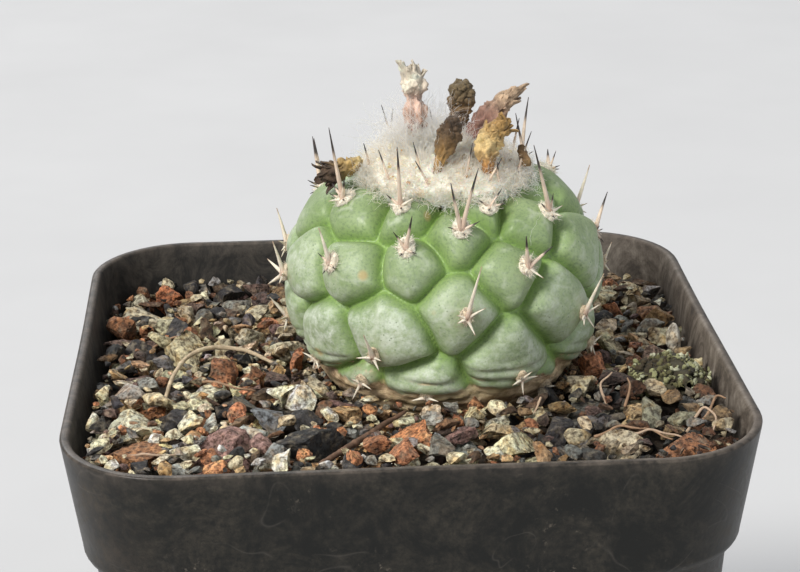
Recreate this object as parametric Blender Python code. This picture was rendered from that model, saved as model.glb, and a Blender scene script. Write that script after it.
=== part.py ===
"""A round, spiny cactus with a woolly crown and dried flowers, in a square plastic nursery pot.

Units are metres, written as millimetres times MM. +Z is up, -Y is the front, and the
origin is at the middle of the pot's underside. Heights written "above the rim" are
measured from the plane of the pot's top edge. A "level" is a height on the stem: 0 at its
widest, 100 at the dome's top and -100 at the bottom of the bowl.
"""

import math
import random

import bmesh
import bpy
from mathutils import Vector, noise
from mathutils.bvhtree import BVHTree

MM = 0.001

# Clearance between two pieces that touch.
GAP = 0.3 * MM

# Pot: a thin square shell with a turned-out band round its top.
POT_WIDTH = 70 * MM
POT_HEIGHT = 80 * MM
POT_WALL = 1.0 * MM
POT_FLOOR = 1.6 * MM
POT_BASE_WIDTH = 54 * MM
POT_CORNER = 11.5 * MM
POT_BASE_CORNER = 8 * MM
BAND_HEIGHT = 12 * MM
BAND_TAPER = 1.6 * MM
STEP_IN = 1.1 * MM
STEP_DROP = 2.0 * MM
LIP_ROUND = 0.3 * MM
FOOT_ROUND = 1.0 * MM
DRAIN_RADIUS = 3.5 * MM
DRAIN_OFFSET = 15 * MM
CORNER_STEPS = 8

# Growing mix: its top slopes down from front to back.
SOIL_DROP = 4.8 * MM
SOIL_SLOPE = 0.06
SOIL_LUMP = 0.3 * MM
SOIL_ANGLES = 44
SOIL_RINGS = 5

# Cactus stem: a squat dome over a deeper bowl, then a corky neck and a tap root.
STEM_X = 5 * MM
STEM_RADIUS = 17.3 * MM
STEM_WAIST = 8 * MM
STEM_DOME = 12.3 * MM
STEM_DOME_POWER = 2.2
STEM_BOWL = 17.5 * MM
COLLAR_LOW = -4.3 * MM
NECK_RADIUS = 10.5 * MM
NECK_LOW = -6.5 * MM
ROOT_RADIUS = 1.6 * MM
ROOT_LOW = -26 * MM
STEM_ANGLES = 70
STEM_ROWS = 28
ROOT_ROWS = 5

# Tubercles: cushions between grooves, each with a knob that carries an areole.
GROOVE_DEPTH = 1.7 * MM
GROOVE_WIDTH = 3.6 * MM
GROOVE_POWER = 2.4
GROOVE_SOFTNESS = 0.25 * MM
GROOVES_END = -3.4 * MM
GROOVES_FULL = -1.2 * MM
KNOB_HEIGHT = 0.4 * MM
KNOB_SPREAD = 1.8 * MM
CELL_RISE = 6
CELL_RISE_SLOPE = 0.17
CROWN_CELLS = 5
CROWN_CELL_RADIUS = 3 * MM

# Areoles: an oval pad of wool with a tuft of spines.
PAD_RADIUS = 0.95 * MM
PAD_HEIGHT = 0.7 * MM
PAD_OVAL = 1.2
SPINE_ROOT = 0.27 * MM
SPINE_TIP = 0.05 * MM
SPINE_SIDES = 4
PAD_SIDES = 7
SPINE_LEAN = 15
SPINE_RISE = 0.35
BACK_SPINE_SEED = 4

# Crown wool, its radius a share of the stem's.
WOOL_SHARE = 0.474
WOOL_RADIUS = WOOL_SHARE * STEM_RADIUS
WOOL_HEIGHT = 4.0 * MM
WOOL_LUMP = 0.35 * MM
WOOL_ANGLES = 28
WOOL_RINGS = 5
WOOL_EDGE = 1.4 * MM

# Each front areole: azimuth in degrees (0 faces front, + to the right) and level, the azimuth
# and level of the middle of its tubercle, how far its spines lean outward in degrees, then
# the spines as (clock angle in degrees, length in mm).
FRONT_AREOLES = (
    (-110, 65, -95, 63, 15, ((-15, 5.4), (-60, 3.0), (70, 2.3))),
    (-62, 76, -50, 78, 12, ((2, 8.0), (30, 3.0), (-105, 1.8), (-45, 2.0))),
    (-27, 80, -30, 81, 15, ((5, 6.8), (-50, 1.9), (55, 2.1))),
    (-19, 55, -17, 48, 15, ((15, 4.0), (-25, 2.4), (110, 1.6))),
    (-48, 36, -43, 42, 15, ((0, 4.3), (-50, 1.6), (95, 1.6))),
    (-76, 10, -72, 24, 15, ((10, 4.2), (-75, 3.0), (-130, 3.0))),
    (20, 80, 20, 85, 15, ((30, 2.2), (-55, 2.0), (90, 1.8))),
    (3, 67, 1, 69, 15, ((10, 7.2), (-15, 5.6), (-70, 1.7), (60, 2.0))),
    (49, 68, 40, 75, 0, ((-20, 8.0), (20, 2.0), (95, 1.8), (-50, 2.2))),
    (108, 75, 90, 81, 15, ((55, 2.8), (-15, 2.2), (-65, 1.8))),
    (84, 34, 66, 44, 15, ((15, 4.5), (-50, 1.6), (105, 2.1))),
    (26, 38, 22, 40, 15, ((-15, 4.2), (45, 3.3), (140, 1.8))),
    (-29, -23, -27, -11, 15, ((0, 3.6), (-95, 1.7))),
    (-63, -42, -58, -29, 15, ((-55, 1.8), (95, 2.0))),
    (-38, -46, -46, -63, 15, ((-155, 2.1), (90, 1.8))),
    (-12, -53, -14, -60, 15, ((-90, 1.7), (85, 1.6))),
    (3, 5, 1, 11, 15, ((10, 6.4), (50, 2.4), (155, 1.9))),
    (51, -10, 42, 0, 15, ((-5, 5.6), (65, 2.2), (145, 2.2))),
    (25, -41, 23, -30, 15, ((20, 1.8), (-35, 1.6), (70, 1.8), (-95, 1.7), (-175, 1.6))),
    (70, -41, 70, -43, 15, ((45, 1.7), (155, 1.6))),
    (98, -6, 92, -9, 15, ((105, 2.2), (10, 2.6))),
    (44, -58, 52, -69, 15, ((90, 1.8),)),
    (-155, 69, -145, 65, 10, ((-12, 6.4), (20, 2.6), (70, 1.8))),
    (88, 86, 76, 86, -14, ((0, 7.4), (45, 2.4))),
)

# The far side: azimuth in degrees, and the levels of one rib's areoles.
BACK_RIBS = (
    (118, (28, -40)),
    (136, (69, -9)),
    (164, (37, -31)),
    (188, (77, 0, -54)),
    (210, (-3,)),
    (232, (49, -26)),
    (250, (8, -54)),
    (270, (-29,)),
)
BACK_SPINE_LENGTH = 4.2
BACK_SPINE_GROWTH = 0.033

# Dried flowers: stations from the root in the wool to the tip, as (percent of the stem's
# radius to the right of its axis, the same behind it, mm above the dome's top, radius in mm).
FLOWERS = {
    "dried_flower_tall": ((-15, 6, 0.9, 0.9), (-16, 6, 2.7, 1.2), (-17, 9, 4.9, 1.4),
                          (-17, 12, 6.3, 0.9), (-17, 12, 7.3, 1.5), (-19, 12, 8.7, 1.0),
                          (-20, 12, 9.6, 0.3)),
    "dried_flower_knob": ((8, 15, 0.9, 0.5), (11, 17, 2.5, 0.7), (12, 18, 4.1, 1.3),
                          (13, 18, 5.7, 1.5), (13, 18, 6.9, 1.2), (13, 18, 7.5, 0.4)),
    "dried_flower_tube": ((17, 2, 0.9, 0.7), (20, 3, 2.0, 1.1), (25, 6, 3.3, 1.5),
                          (34, 8, 4.8, 1.3), (42, 10, 6.1, 0.8), (47, 12, 6.8, 0.5)),
    "dried_flower_gold": ((23, -36, -0.1, 0.5), (24, -34, 1.1, 0.8), (24, -32, 2.3, 1.4),
                          (27, -29, 3.5, 1.4), (33, -28, 4.7, 0.9), (35, -27, 5.5, 0.4)),
    "dried_flower_dark": ((-8, -40, -0.1, 0.4), (-5, -37, 1.5, 0.6), (-1, -32, 2.9, 1.2),
                          (2, -30, 4.1, 1.3), (4, -29, 5.2, 0.7), (5, -29, 5.7, 0.3)),
    "dried_flower_fallen": ((-51, -8, 0.6, 0.4), (-54, -9, 0.3, 0.7), (-58, -11, 0.0, 0.9),
                            (-63, -13, -0.3, 1.0), (-69, -15, -0.6, 1.0), (-75, -17, -0.7, 0.4)),
    "dried_flower_stub": ((49, -20, -0.1, 0.4), (49, -20, 0.4, 0.6), (47, -18, 1.3, 0.5),
                          (46, -18, 1.9, 0.3)),
}
IN_THE_WOOL = ("dried_flower_tall", "dried_flower_knob", "dried_flower_tube",
               "dried_flower_gold", "dried_flower_dark")
FLOWER_SIDES = 8
FLOWER_CREASE = 0.14
FLOWER_COLOURS = {
    "dried_flower_tall": (0.72, 0.55, 0.42), "dried_flower_knob": (0.20, 0.14, 0.07),
    "dried_flower_tube": (0.48, 0.30, 0.25), "dried_flower_gold": (0.62, 0.40, 0.14),
    "dried_flower_dark": (0.13, 0.08, 0.04), "dried_flower_fallen": (0.42, 0.29, 0.10),
    "dried_flower_stub": (0.35, 0.22, 0.10),
}

# Litter on the growing mix is placed by azimuth about the stem in degrees and by its share
# of the way from the stem's collar to the pot's wall. Twigs: azimuth, share, mm above the
# mix, radius in mm.
TWIGS = {
    "twig_arched": ((-75, 0.71, 0.7, 0.3), (-80, 0.68, 2.1, 0.38), (-89, 0.62, 3.2, 0.4),
                    (-96, 0.51, 3.4, 0.42), (-97, 0.39, 3.0, 0.4), (-94, 0.25, 1.7, 0.3)),
    "twig_straight": ((-26, 0.88, 1.7, 0.34), (-24, 0.63, 1.7, 0.4), (-22, 0.39, 1.6, 0.36),
                      (-19, 0.17, 1.6, 0.25)),
}
TWIG_SIDES = 6
TWIG_CREASE = 0.06

# Larger stones: azimuth, share, then the three sizes in mm, a turn about +Z in degrees, and
# a seed.
STONES = {
    "stone_pale_slab": ((-65, 0.82), (5.6, 5.0, 1.9), 20, 3),
    "stone_orange_lava": ((-131, 0.86), (4.6, 4.0, 3.4), 0, 5),
    "stone_splinter": ((92, 0.84), (1.6, 2.8, 4.8), 8, 8),
    "stone_black": ((22, 0.55), (3.9, 3.4, 2.6), 30, 11),
    "stone_cream": ((10, 0.45), (4.4, 3.2, 1.9), -10, 13),
    "stone_blue_grey": ((-48, 0.4), (4.0, 3.2, 2.4), 15, 17),
    "stone_tan": ((47, 0.53), (4.4, 3.6, 2.4), -25, 19),
}
STONE_COLOURS = {
    "stone_pale_slab": (0.60, 0.56, 0.47), "stone_orange_lava": (0.42, 0.16, 0.08),
    "stone_splinter": (0.50, 0.47, 0.42), "stone_black": (0.03, 0.03, 0.035),
    "stone_cream": (0.62, 0.55, 0.42), "stone_blue_grey": (0.17, 0.19, 0.21),
    "stone_tan": (0.35, 0.25, 0.16),
}
STONE_FACETS = 9

# Moss: azimuth and share of its middle, its half sizes across and along the way from the
# collar to the wall as shares of that way, and its half height.
MOSS_PLACE = (68, 0.7)
MOSS_ACROSS = 0.23
MOSS_ALONG = 0.23
MOSS_HEIGHT = 2.2 * MM
MOSS_LUMP = 0.22
MOSS_FLAT = 0.45


def clear_scene():
    for obj in list(bpy.data.objects):
        bpy.data.objects.remove(obj, do_unlink=True)


def material(name, colour, roughness):
    made = bpy.data.materials.new(name)
    made.use_nodes = True
    shader = made.node_tree.nodes["Principled BSDF"]
    shader.inputs["Base Color"].default_value = (*colour, 1)
    shader.inputs["Roughness"].default_value = roughness
    shader.inputs["Metallic"].default_value = 0
    made.diffuse_color = (*colour, 1)
    return made


def object_from(name, bm, mat, smooth=True):
    """Closes the bmesh into an object of this name, its faces outward."""
    bmesh.ops.recalc_face_normals(bm, faces=bm.faces)
    mesh = bpy.data.meshes.new(name)
    bm.to_mesh(mesh)
    bm.free()
    mesh.materials.append(mat)
    if smooth:
        mesh.shade_smooth()
        mesh.set_sharp_from_angle(angle=math.radians(40))
    obj = bpy.data.objects.new(name, mesh)
    bpy.context.scene.collection.objects.link(obj)
    return obj


def skin(rings):
    """A closed bmesh through rings of points. A ring of one point is a pole, others are capped."""
    bm = bmesh.new()
    loops = [[bm.verts.new(point) for point in ring] for ring in rings]
    for lower, upper in zip(loops, loops[1:]):
        count = max(len(lower), len(upper))
        for i in range(count):
            j = (i + 1) % count
            corners = [lower[i % len(lower)], lower[j % len(lower)],
                       upper[j % len(upper)], upper[i % len(upper)]]
            bm.faces.new(list(dict.fromkeys(corners)))
    for loop in (loops[0], loops[-1]):
        if len(loop) > 1:
            bm.faces.new(loop)
    return bm


def combine(obj, other, operation):
    """Applies one Boolean to the object's mesh and removes the other object."""
    modifier = obj.modifiers.new(operation.lower(), "BOOLEAN")
    modifier.operation = operation
    modifier.object = other
    modifier.use_self = operation == "UNION"
    bpy.context.view_layer.update()
    graph = bpy.context.evaluated_depsgraph_get()
    made = bpy.data.meshes.new_from_object(obj.evaluated_get(graph))
    obj.modifiers.remove(modifier)
    obj.data = made
    bpy.data.objects.remove(other, do_unlink=True)


# ---------------------------------------------------------------- pot

def square_ring(half, corner, z):
    """A square outline with round corners, anticlockwise from the middle of its right side."""
    points = []
    middle = half - corner
    for quarter in range(4):
        start = math.radians(90 * quarter)
        centre_x = middle * math.cos(start) - middle * math.sin(start)
        centre_y = middle * math.sin(start) + middle * math.cos(start)
        for step in range(CORNER_STEPS + 1):
            angle = start + math.radians(90) * step / CORNER_STEPS
            points.append(Vector((centre_x + corner * math.cos(angle),
                                  centre_y + corner * math.sin(angle), z)))
    return points


def pot_corner(z):
    """Outer corner radius at height z."""
    share = z / POT_HEIGHT
    return POT_BASE_CORNER + share * (POT_CORNER - POT_BASE_CORNER)


def pot_half(z):
    """Half the pot's outer width at height z: the leaning wall, the step, then the band."""
    rim = POT_WIDTH / 2
    band_low = POT_HEIGHT - BAND_HEIGHT
    band_half = rim - BAND_TAPER
    step_low = band_low - STEP_DROP
    wall_top = band_half - STEP_IN
    if z >= band_low:
        return band_half + BAND_TAPER * (z - band_low) / BAND_HEIGHT
    if z >= step_low:
        share = (z - step_low) / STEP_DROP
        return wall_top + STEP_IN * math.sin(math.radians(90) * share)
    base = POT_BASE_WIDTH / 2
    return base + (wall_top - base) * z / step_low


def wall_levels(low):
    """Heights at which the pot's wall has a ring, from low up to just under the rim."""
    band_low = POT_HEIGHT - BAND_HEIGHT
    step = [band_low - STEP_DROP * share for share in (1, 0.75, 0.5, 0.2, 0)]
    return [low, *step, POT_HEIGHT - LIP_ROUND]


def make_pot():
    rings = []
    for share in (0, 0.5, 1):
        turn = math.radians(90) * share
        inset = FOOT_ROUND * (1 - math.sin(turn))
        z = FOOT_ROUND * (1 - math.cos(turn))
        rings.append(square_ring(pot_half(z) - inset, pot_corner(z) - inset, z))
    for z in wall_levels(FOOT_ROUND)[1:]:
        rings.append(square_ring(pot_half(z), pot_corner(z), z))
    rim = POT_WIDTH / 2
    for inset in (LIP_ROUND, POT_WALL - LIP_ROUND):
        rings.append(square_ring(rim - inset, POT_CORNER - inset, POT_HEIGHT))
    for z in reversed(wall_levels(POT_FLOOR)):
        rings.append(square_ring(pot_half(z) - POT_WALL, pot_corner(z) - POT_WALL, z))
    pot = object_from("pot", skin(rings), material("pot_plastic", (0.028, 0.027, 0.028), 0.55))
    drill_drains(pot)
    return pot


def drill_drains(pot):
    """One round drain hole near each corner of the floor."""
    for x in (-DRAIN_OFFSET, DRAIN_OFFSET):
        for y in (-DRAIN_OFFSET, DRAIN_OFFSET):
            bm = bmesh.new()
            bmesh.ops.create_cone(bm, cap_ends=True, segments=20, radius1=DRAIN_RADIUS,
                                  radius2=DRAIN_RADIUS, depth=4 * POT_FLOOR)
            bmesh.ops.translate(bm, verts=bm.verts, vec=(x, y, POT_FLOOR / 2))
            drill = object_from("drill", bm, pot.data.materials[0])
            combine(pot, drill, "DIFFERENCE")
    pot.data.shade_smooth()
    pot.data.set_sharp_from_angle(angle=math.radians(40))


# ---------------------------------------------------------------- stem profile

def stem_radius(height):
    """Radius of the stem's envelope at a height above the rim."""
    rise = height - STEM_WAIST
    if rise >= 0:
        share = min(1, rise / STEM_DOME)
        return STEM_RADIUS * (1 - share ** STEM_DOME_POWER) ** (1 / STEM_DOME_POWER)
    if height >= COLLAR_LOW:
        return STEM_RADIUS * math.sqrt(1 - (rise / STEM_BOWL) ** 2)
    collar = STEM_RADIUS * math.sqrt(1 - ((COLLAR_LOW - STEM_WAIST) / STEM_BOWL) ** 2)
    if height >= NECK_LOW:
        share = (COLLAR_LOW - height) / (COLLAR_LOW - NECK_LOW)
        return collar + (NECK_RADIUS - collar) * share
    share = (NECK_LOW - height) / (NECK_LOW - ROOT_LOW)
    return NECK_RADIUS + (ROOT_RADIUS - NECK_RADIUS) * share ** 0.7


def crown_height(radius):
    """Height above the rim of the dome's envelope at a distance from the stem's axis."""
    share = min(1, radius / STEM_RADIUS)
    return STEM_WAIST + STEM_DOME * (1 - share ** STEM_DOME_POWER) ** (1 / STEM_DOME_POWER)


def stem_height(level):
    """Height above the rim of a level on the stem."""
    reach = STEM_DOME if level > 0 else STEM_BOWL
    return STEM_WAIST + reach * level / 100


def stem_point(azimuth, height):
    """The envelope's point at an azimuth in radians and a height above the rim."""
    radius = stem_radius(height)
    return Vector((STEM_X + radius * math.sin(azimuth), -radius * math.cos(azimuth),
                   POT_HEIGHT + height))


def stem_normal(azimuth, height):
    """The envelope's outward normal at an azimuth and a height above the rim."""
    step = 0.05 * MM
    low = max(height - step, COLLAR_LOW)
    high = min(height + step, STEM_WAIST + STEM_DOME)
    slope = (stem_radius(high) - stem_radius(low)) / (high - low)
    return Vector((math.sin(azimuth), -math.cos(azimuth), -slope)).normalized()


def even_profile(count):
    """(radius, height) pairs, evenly spaced along the dome and bowl from pole to collar."""
    fine = []
    for step in range(400):
        turn = math.radians(90) * step / 400
        radius = STEM_RADIUS * math.sin(turn)
        fine.append((radius, crown_height(radius)))
    for step in range(401):
        height = STEM_WAIST + (COLLAR_LOW - STEM_WAIST) * step / 400
        fine.append((stem_radius(height), height))
    lengths = [0]
    for before, after in zip(fine, fine[1:]):
        lengths.append(lengths[-1] + math.dist(before, after))
    made = []
    at = 0
    for step in range(count + 1):
        target = lengths[-1] * step / count
        while lengths[at + 1] < target and at < len(fine) - 2:
            at += 1
        span = lengths[at + 1] - lengths[at]
        share = (target - lengths[at]) / span if span else 0
        made.append(tuple(a + (b - a) * share for a, b in zip(fine[at], fine[at + 1])))
    return made


# ---------------------------------------------------------------- stem

def areole_places():
    """Every areole, front ones first: azimuth, height, its tubercle's azimuth and height, spines."""
    places = []
    for degrees, level, cell_degrees, cell_level, lean, spines in FRONT_AREOLES:
        leaning = tuple((clock, length, lean) for clock, length in spines)
        places.append((math.radians(degrees), stem_height(level),
                       math.radians(cell_degrees), stem_height(cell_level), leaning))
    rng = random.Random(BACK_SPINE_SEED)
    for degrees, levels in BACK_RIBS:
        azimuth = math.radians(degrees)
        for level in levels:
            longest = BACK_SPINE_LENGTH + BACK_SPINE_GROWTH * level + rng.uniform(-0.4, 0.4)
            spines = ((rng.uniform(-12, 12), longest, SPINE_LEAN),
                      (rng.uniform(-75, -45), rng.uniform(1.6, 2.2), SPINE_LEAN),
                      (rng.uniform(50, 80), rng.uniform(1.6, 2.4), SPINE_LEAN),
                      (rng.uniform(140, 180), rng.uniform(1.6, 1.9), SPINE_LEAN))
            cell_level = level + CELL_RISE - CELL_RISE_SLOPE * level
            places.append((azimuth, stem_height(level), azimuth, stem_height(cell_level), spines))
    return places


def cell_centres(places):
    """Middle of each tubercle, and of the small ones hidden under the crown's wool."""
    centres = [stem_point(azimuth, height) for _, _, azimuth, height, _ in places]
    for i in range(CROWN_CELLS):
        azimuth = math.radians(360 * i / CROWN_CELLS)
        centres.append(stem_point(azimuth, crown_height(CROWN_CELL_RADIUS)))
    return centres


def cushion(point, centres):
    """0 in a groove and 1 on top of a tubercle, from the distance to the nearest groove."""
    ordered = sorted(centres, key=lambda centre: (centre - point).length_squared)
    own = ordered[0]
    total = 0
    for other in ordered[1:9]:
        across = own - other
        edge = across.dot(point - (own + other) / 2) / across.length
        total += math.exp(-edge / GROOVE_SOFTNESS)
    edge = -GROOVE_SOFTNESS * math.log(total)
    share = min(1, max(0, edge / GROOVE_WIDTH))
    return 1 - (1 - share) ** GROOVE_POWER


def knob(point, seats):
    """Height of the knob under the nearest areole."""
    nearest = min((seat - point).length_squared for seat in seats)
    return KNOB_HEIGHT * math.exp(-nearest / (2 * KNOB_SPREAD ** 2))


def make_stem(places):
    centres = cell_centres(places)
    seats = [stem_point(azimuth, height) for azimuth, height, *_ in places]
    rings = []
    for radius, height in even_profile(STEM_ROWS):
        if radius == 0:
            rings.append([Vector((STEM_X, 0, POT_HEIGHT + height - GROOVE_DEPTH))])
            continue
        fade = (height - GROOVES_END) / (GROOVES_FULL - GROOVES_END)
        fade = min(1, max(0, fade))
        ring = []
        for i in range(STEM_ANGLES):
            azimuth = 2 * math.pi * i / STEM_ANGLES
            flat = Vector((STEM_X + radius * math.sin(azimuth), -radius * math.cos(azimuth),
                           POT_HEIGHT + height))
            depth = GROOVE_DEPTH * (1 - cushion(flat, centres)) - knob(flat, seats)
            ring.append(flat - stem_normal(azimuth, height) * depth * fade)
        rings.append(ring)
    rings += root_rings(0)
    body = object_from("cactus_stem", skin(rings), material("cactus_skin", (0.27, 0.40, 0.20), 0.6))
    return body


def root_rings(grow):
    """Rings down the neck and tap root, each widened by grow, ending in a pole."""
    rings = []
    for step in range(ROOT_ROWS):
        height = NECK_LOW + (ROOT_LOW - NECK_LOW) * step / (ROOT_ROWS - 1)
        radius = stem_radius(height) + grow
        rings.append([Vector((STEM_X + radius * math.sin(turn), -radius * math.cos(turn),
                              POT_HEIGHT + height))
                      for turn in (2 * math.pi * i / STEM_ANGLES for i in range(STEM_ANGLES))])
    rings.append([Vector((STEM_X, 0, POT_HEIGHT + ROOT_LOW - ROOT_RADIUS - grow))])
    return rings


# ---------------------------------------------------------------- growing mix

def soil_height(x, y):
    """Height of the mix's top, above the pot's underside."""
    lumps = math.sin(x * 450 + 1.3) * math.cos(y * 400 + 0.4) + math.sin(x * 250 - y * 320)
    return POT_HEIGHT - SOIL_DROP - SOIL_SLOPE * y + SOIL_LUMP * lumps / 2


def reach_wall(angle, half, corner):
    """Distance from the stem's axis to a round-cornered square outline along an angle."""
    direction = (math.cos(angle), math.sin(angle))
    near = 0
    far = 2 * half + STEM_X
    for _ in range(40):
        middle = (near + far) / 2
        x = abs(STEM_X + middle * direction[0]) - (half - corner)
        y = abs(middle * direction[1]) - (half - corner)
        outside = math.hypot(max(x, 0), max(y, 0)) > corner or max(x, y) > corner
        near, far = (near, middle) if outside else (middle, far)
    return near


def soil_point(angle, distance, z):
    return Vector((STEM_X + distance * math.cos(angle), distance * math.sin(angle), z))


def soil_inside(z):
    """Half width and corner radius of the mix at height z, clear of the pot."""
    return pot_half(z) - POT_WALL - GAP, pot_corner(z) - POT_WALL - GAP


def way_to_wall(azimuth):
    """Where the way from the collar to the wall starts, and its length, in a direction."""
    start = stem_radius(COLLAR_LOW)
    wall = reach_wall(azimuth - math.radians(90), *soil_inside(POT_HEIGHT - SOIL_DROP))
    return start, wall - start


def litter_point(degrees, share, lift):
    """A point over the mix: an azimuth, a share of the way to the wall, and a height."""
    azimuth = math.radians(degrees)
    start, way = way_to_wall(azimuth)
    point = soil_point(azimuth - math.radians(90), start + way * share, 0)
    point.z = POT_HEIGHT - SOIL_DROP - SOIL_SLOPE * point.y + lift
    return point


def make_soil():
    angles = [2 * math.pi * i / SOIL_ANGLES for i in range(SOIL_ANGLES)]
    low = POT_HEIGHT + ROOT_LOW - ROOT_RADIUS - 2 * GAP
    rings = [[Vector((STEM_X, 0, low))]]
    clear = 1 / math.cos(math.pi / SOIL_ANGLES)
    for step in reversed(range(ROOT_ROWS)):
        height = NECK_LOW + (ROOT_LOW - NECK_LOW) * step / (ROOT_ROWS - 1)
        distance = (stem_radius(height) + GAP) * clear
        rings.append([soil_point(angle, distance, POT_HEIGHT + height) for angle in angles])
    top = [[] for _ in range(SOIL_RINGS + 1)]
    for angle in angles:
        inner = (stem_radius(SOIL_SLOPE * STEM_RADIUS + SOIL_LUMP - SOIL_DROP) + GAP) * clear
        wall_z = POT_HEIGHT - SOIL_DROP
        outer = reach_wall(angle, *soil_inside(wall_z - SOIL_SLOPE * POT_WIDTH / 2))
        for step, ring in enumerate(top):
            distance = inner + (outer - inner) * step / SOIL_RINGS
            flat = soil_point(angle, distance, 0)
            ring.append(Vector((flat.x, flat.y, soil_height(flat.x, flat.y))))
    rings += top
    band_low = POT_HEIGHT - BAND_HEIGHT
    for z in (band_low, band_low - STEP_DROP, POT_FLOOR + GAP):
        half, corner = soil_inside(z)
        rings.append([soil_point(a, reach_wall(a, half, corner), z) for a in angles])
    return object_from("growing_mix", skin(rings), material("growing_mix", (0.09, 0.065, 0.045), 0.95))


# ---------------------------------------------------------------- areoles

def spine_mesh(bm, root, tip):
    """Adds one tapering spine to the bmesh, from root to tip."""
    along = (tip - root).normalized()
    side = along.cross(Vector((0.31, 0.87, 0.38))).normalized()
    other = along.cross(side)
    rings = []
    for share in (0, 0.5):
        radius = SPINE_ROOT + (SPINE_TIP - SPINE_ROOT) * share
        centre = root.lerp(tip, share)
        rings.append([bm.verts.new(centre + radius * (side * math.cos(turn) + other * math.sin(turn)))
                      for turn in (2 * math.pi * i / SPINE_SIDES for i in range(SPINE_SIDES))])
    point = bm.verts.new(tip)
    for lower, upper in zip(rings, rings[1:]):
        for i in range(SPINE_SIDES):
            j = (i + 1) % SPINE_SIDES
            bm.faces.new((lower[i], lower[j], upper[j], upper[i]))
    for i in range(SPINE_SIDES):
        bm.faces.new((rings[-1][i], rings[-1][(i + 1) % SPINE_SIDES], point))
    bm.faces.new(list(reversed(rings[0])))


def spine_direction(azimuth, clock, lean_degrees):
    """Direction of a spine: a clock angle seen from outside, and a lean outward."""
    outward = Vector((math.sin(azimuth), -math.cos(azimuth), 0))
    sideways = Vector((math.cos(azimuth), math.sin(azimuth), 0))
    turn = math.radians(clock)
    lean = math.radians(lean_degrees)
    across = sideways * math.sin(turn) + Vector((0, 0, 1)) * math.cos(turn)
    return across * math.cos(lean) + outward * math.sin(lean)


def make_areole(name, place, surface, pad_material):
    azimuth, height, _, _, spines = place
    normal = stem_normal(azimuth, height)
    side = Vector((math.cos(azimuth), math.sin(azimuth), 0))
    up = normal.cross(side) if normal.cross(side).z > 0 else side.cross(normal)
    outline = []
    for i in range(PAD_SIDES):
        turn = 2 * math.pi * i / PAD_SIDES
        outline.append(PAD_RADIUS * (side * math.cos(turn) + up * PAD_OVAL * math.sin(turn)))
    outside = stem_point(azimuth, height) + normal * STEM_RADIUS
    depths = [surface.ray_cast(outside + offset, -normal)[3] for offset in (Vector(), *outline)]
    seat = outside - normal * (min(depths) - GAP)
    rings = []
    for share, lift in ((1, 0), (0.75, 0.8)):
        rings.append([seat + normal * PAD_HEIGHT * lift + offset * share for offset in outline])
    rings.append([seat + normal * PAD_HEIGHT])
    pad = object_from(name, skin(rings), pad_material)
    bm = bmesh.new()
    root = seat + normal * PAD_HEIGHT * 0.6
    for clock, length, lean in spines:
        direction = spine_direction(azimuth, clock, lean)
        rise = direction.dot(normal)
        if rise < SPINE_RISE:
            direction = (direction + normal * (SPINE_RISE - rise)).normalized()
        spine_mesh(bm, root, root + direction * length * MM)
    combine(pad, object_from("spines", bm, pad_material), "UNION")
    return pad


def surface_of(obj):
    return BVHTree.FromPolygons([v.co.copy() for v in obj.data.vertices],
                                [tuple(p.vertices) for p in obj.data.polygons])


# ---------------------------------------------------------------- wool and flowers

def loft(stations, sides, crease, seed, grow=0.0):
    """A closed tube through (point, radius) stations, its sides creased."""
    rng = random.Random(seed)
    points = [point for point, _ in stations]
    rings = []
    side = Vector((0.9, 0.1, 0.2))
    for i, (point, station_radius) in enumerate(stations):
        along = (points[min(i + 1, len(points) - 1)] - points[max(i - 1, 0)]).normalized()
        side = (side - along * side.dot(along)).normalized()
        other = along.cross(side)
        ring = []
        for k in range(sides):
            turn = 2 * math.pi * k / sides
            radius = station_radius * (1 + crease * rng.uniform(-1, 1)) + grow
            ring.append(point + radius * (side * math.cos(turn) + other * math.sin(turn)))
        rings.append(ring)
    return skin(rings)


def flower_loft(name, grow=0.0):
    """One flower's shape, from its stations about the stem's axis and the dome's top."""
    stations = []
    for right, behind, height, radius in FLOWERS[name]:
        point = Vector((STEM_X + STEM_RADIUS * right / 100, STEM_RADIUS * behind / 100,
                        POT_HEIGHT + STEM_WAIST + STEM_DOME + height * MM))
        stations.append((point, radius * MM))
    return loft(stations, FLOWER_SIDES, FLOWER_CREASE, name, grow)


def make_wool(flower_material):
    """The crown's wool: a lumpy cap on the dome, with a pocket for each flower rooted in it."""
    angles = [2 * math.pi * i / WOOL_ANGLES for i in range(WOOL_ANGLES)]

    def ring(radius, height):
        return [Vector((STEM_X + radius * math.sin(turn), -radius * math.cos(turn),
                        POT_HEIGHT + height(radius, turn))) for turn in angles]

    def under(radius, _):
        return crown_height(radius) + 1.4 * GAP

    def over(radius, turn):
        share = radius / WOOL_RADIUS
        lump = WOOL_LUMP * math.sin(3 * turn + 9 * share) * math.cos(2 * turn - 7 * share)
        return crown_height(radius) + WOOL_EDGE + (WOOL_HEIGHT - WOOL_EDGE) * (1 - share ** 2) + lump

    radii = [WOOL_RADIUS * step / WOOL_RINGS for step in range(1, WOOL_RINGS + 1)]
    rings = [[Vector((STEM_X, 0, POT_HEIGHT + under(0, 0)))]]
    rings += [ring(radius, under) for radius in radii]
    rings += [ring(radius, over) for radius in reversed(radii)]
    rings.append([Vector((STEM_X, 0, POT_HEIGHT + over(0, 0)))])
    wool = object_from("crown_wool", skin(rings), material("crown_wool", (0.80, 0.74, 0.62), 0.95))
    for name in IN_THE_WOOL:
        pocket = flower_loft(name, GAP)
        bmesh.ops.translate(pocket, verts=list(pocket.verts)[:FLOWER_SIDES], vec=(0, 0, -GAP))
        combine(wool, object_from("pocket", pocket, flower_material), "DIFFERENCE")
    return wool


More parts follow.
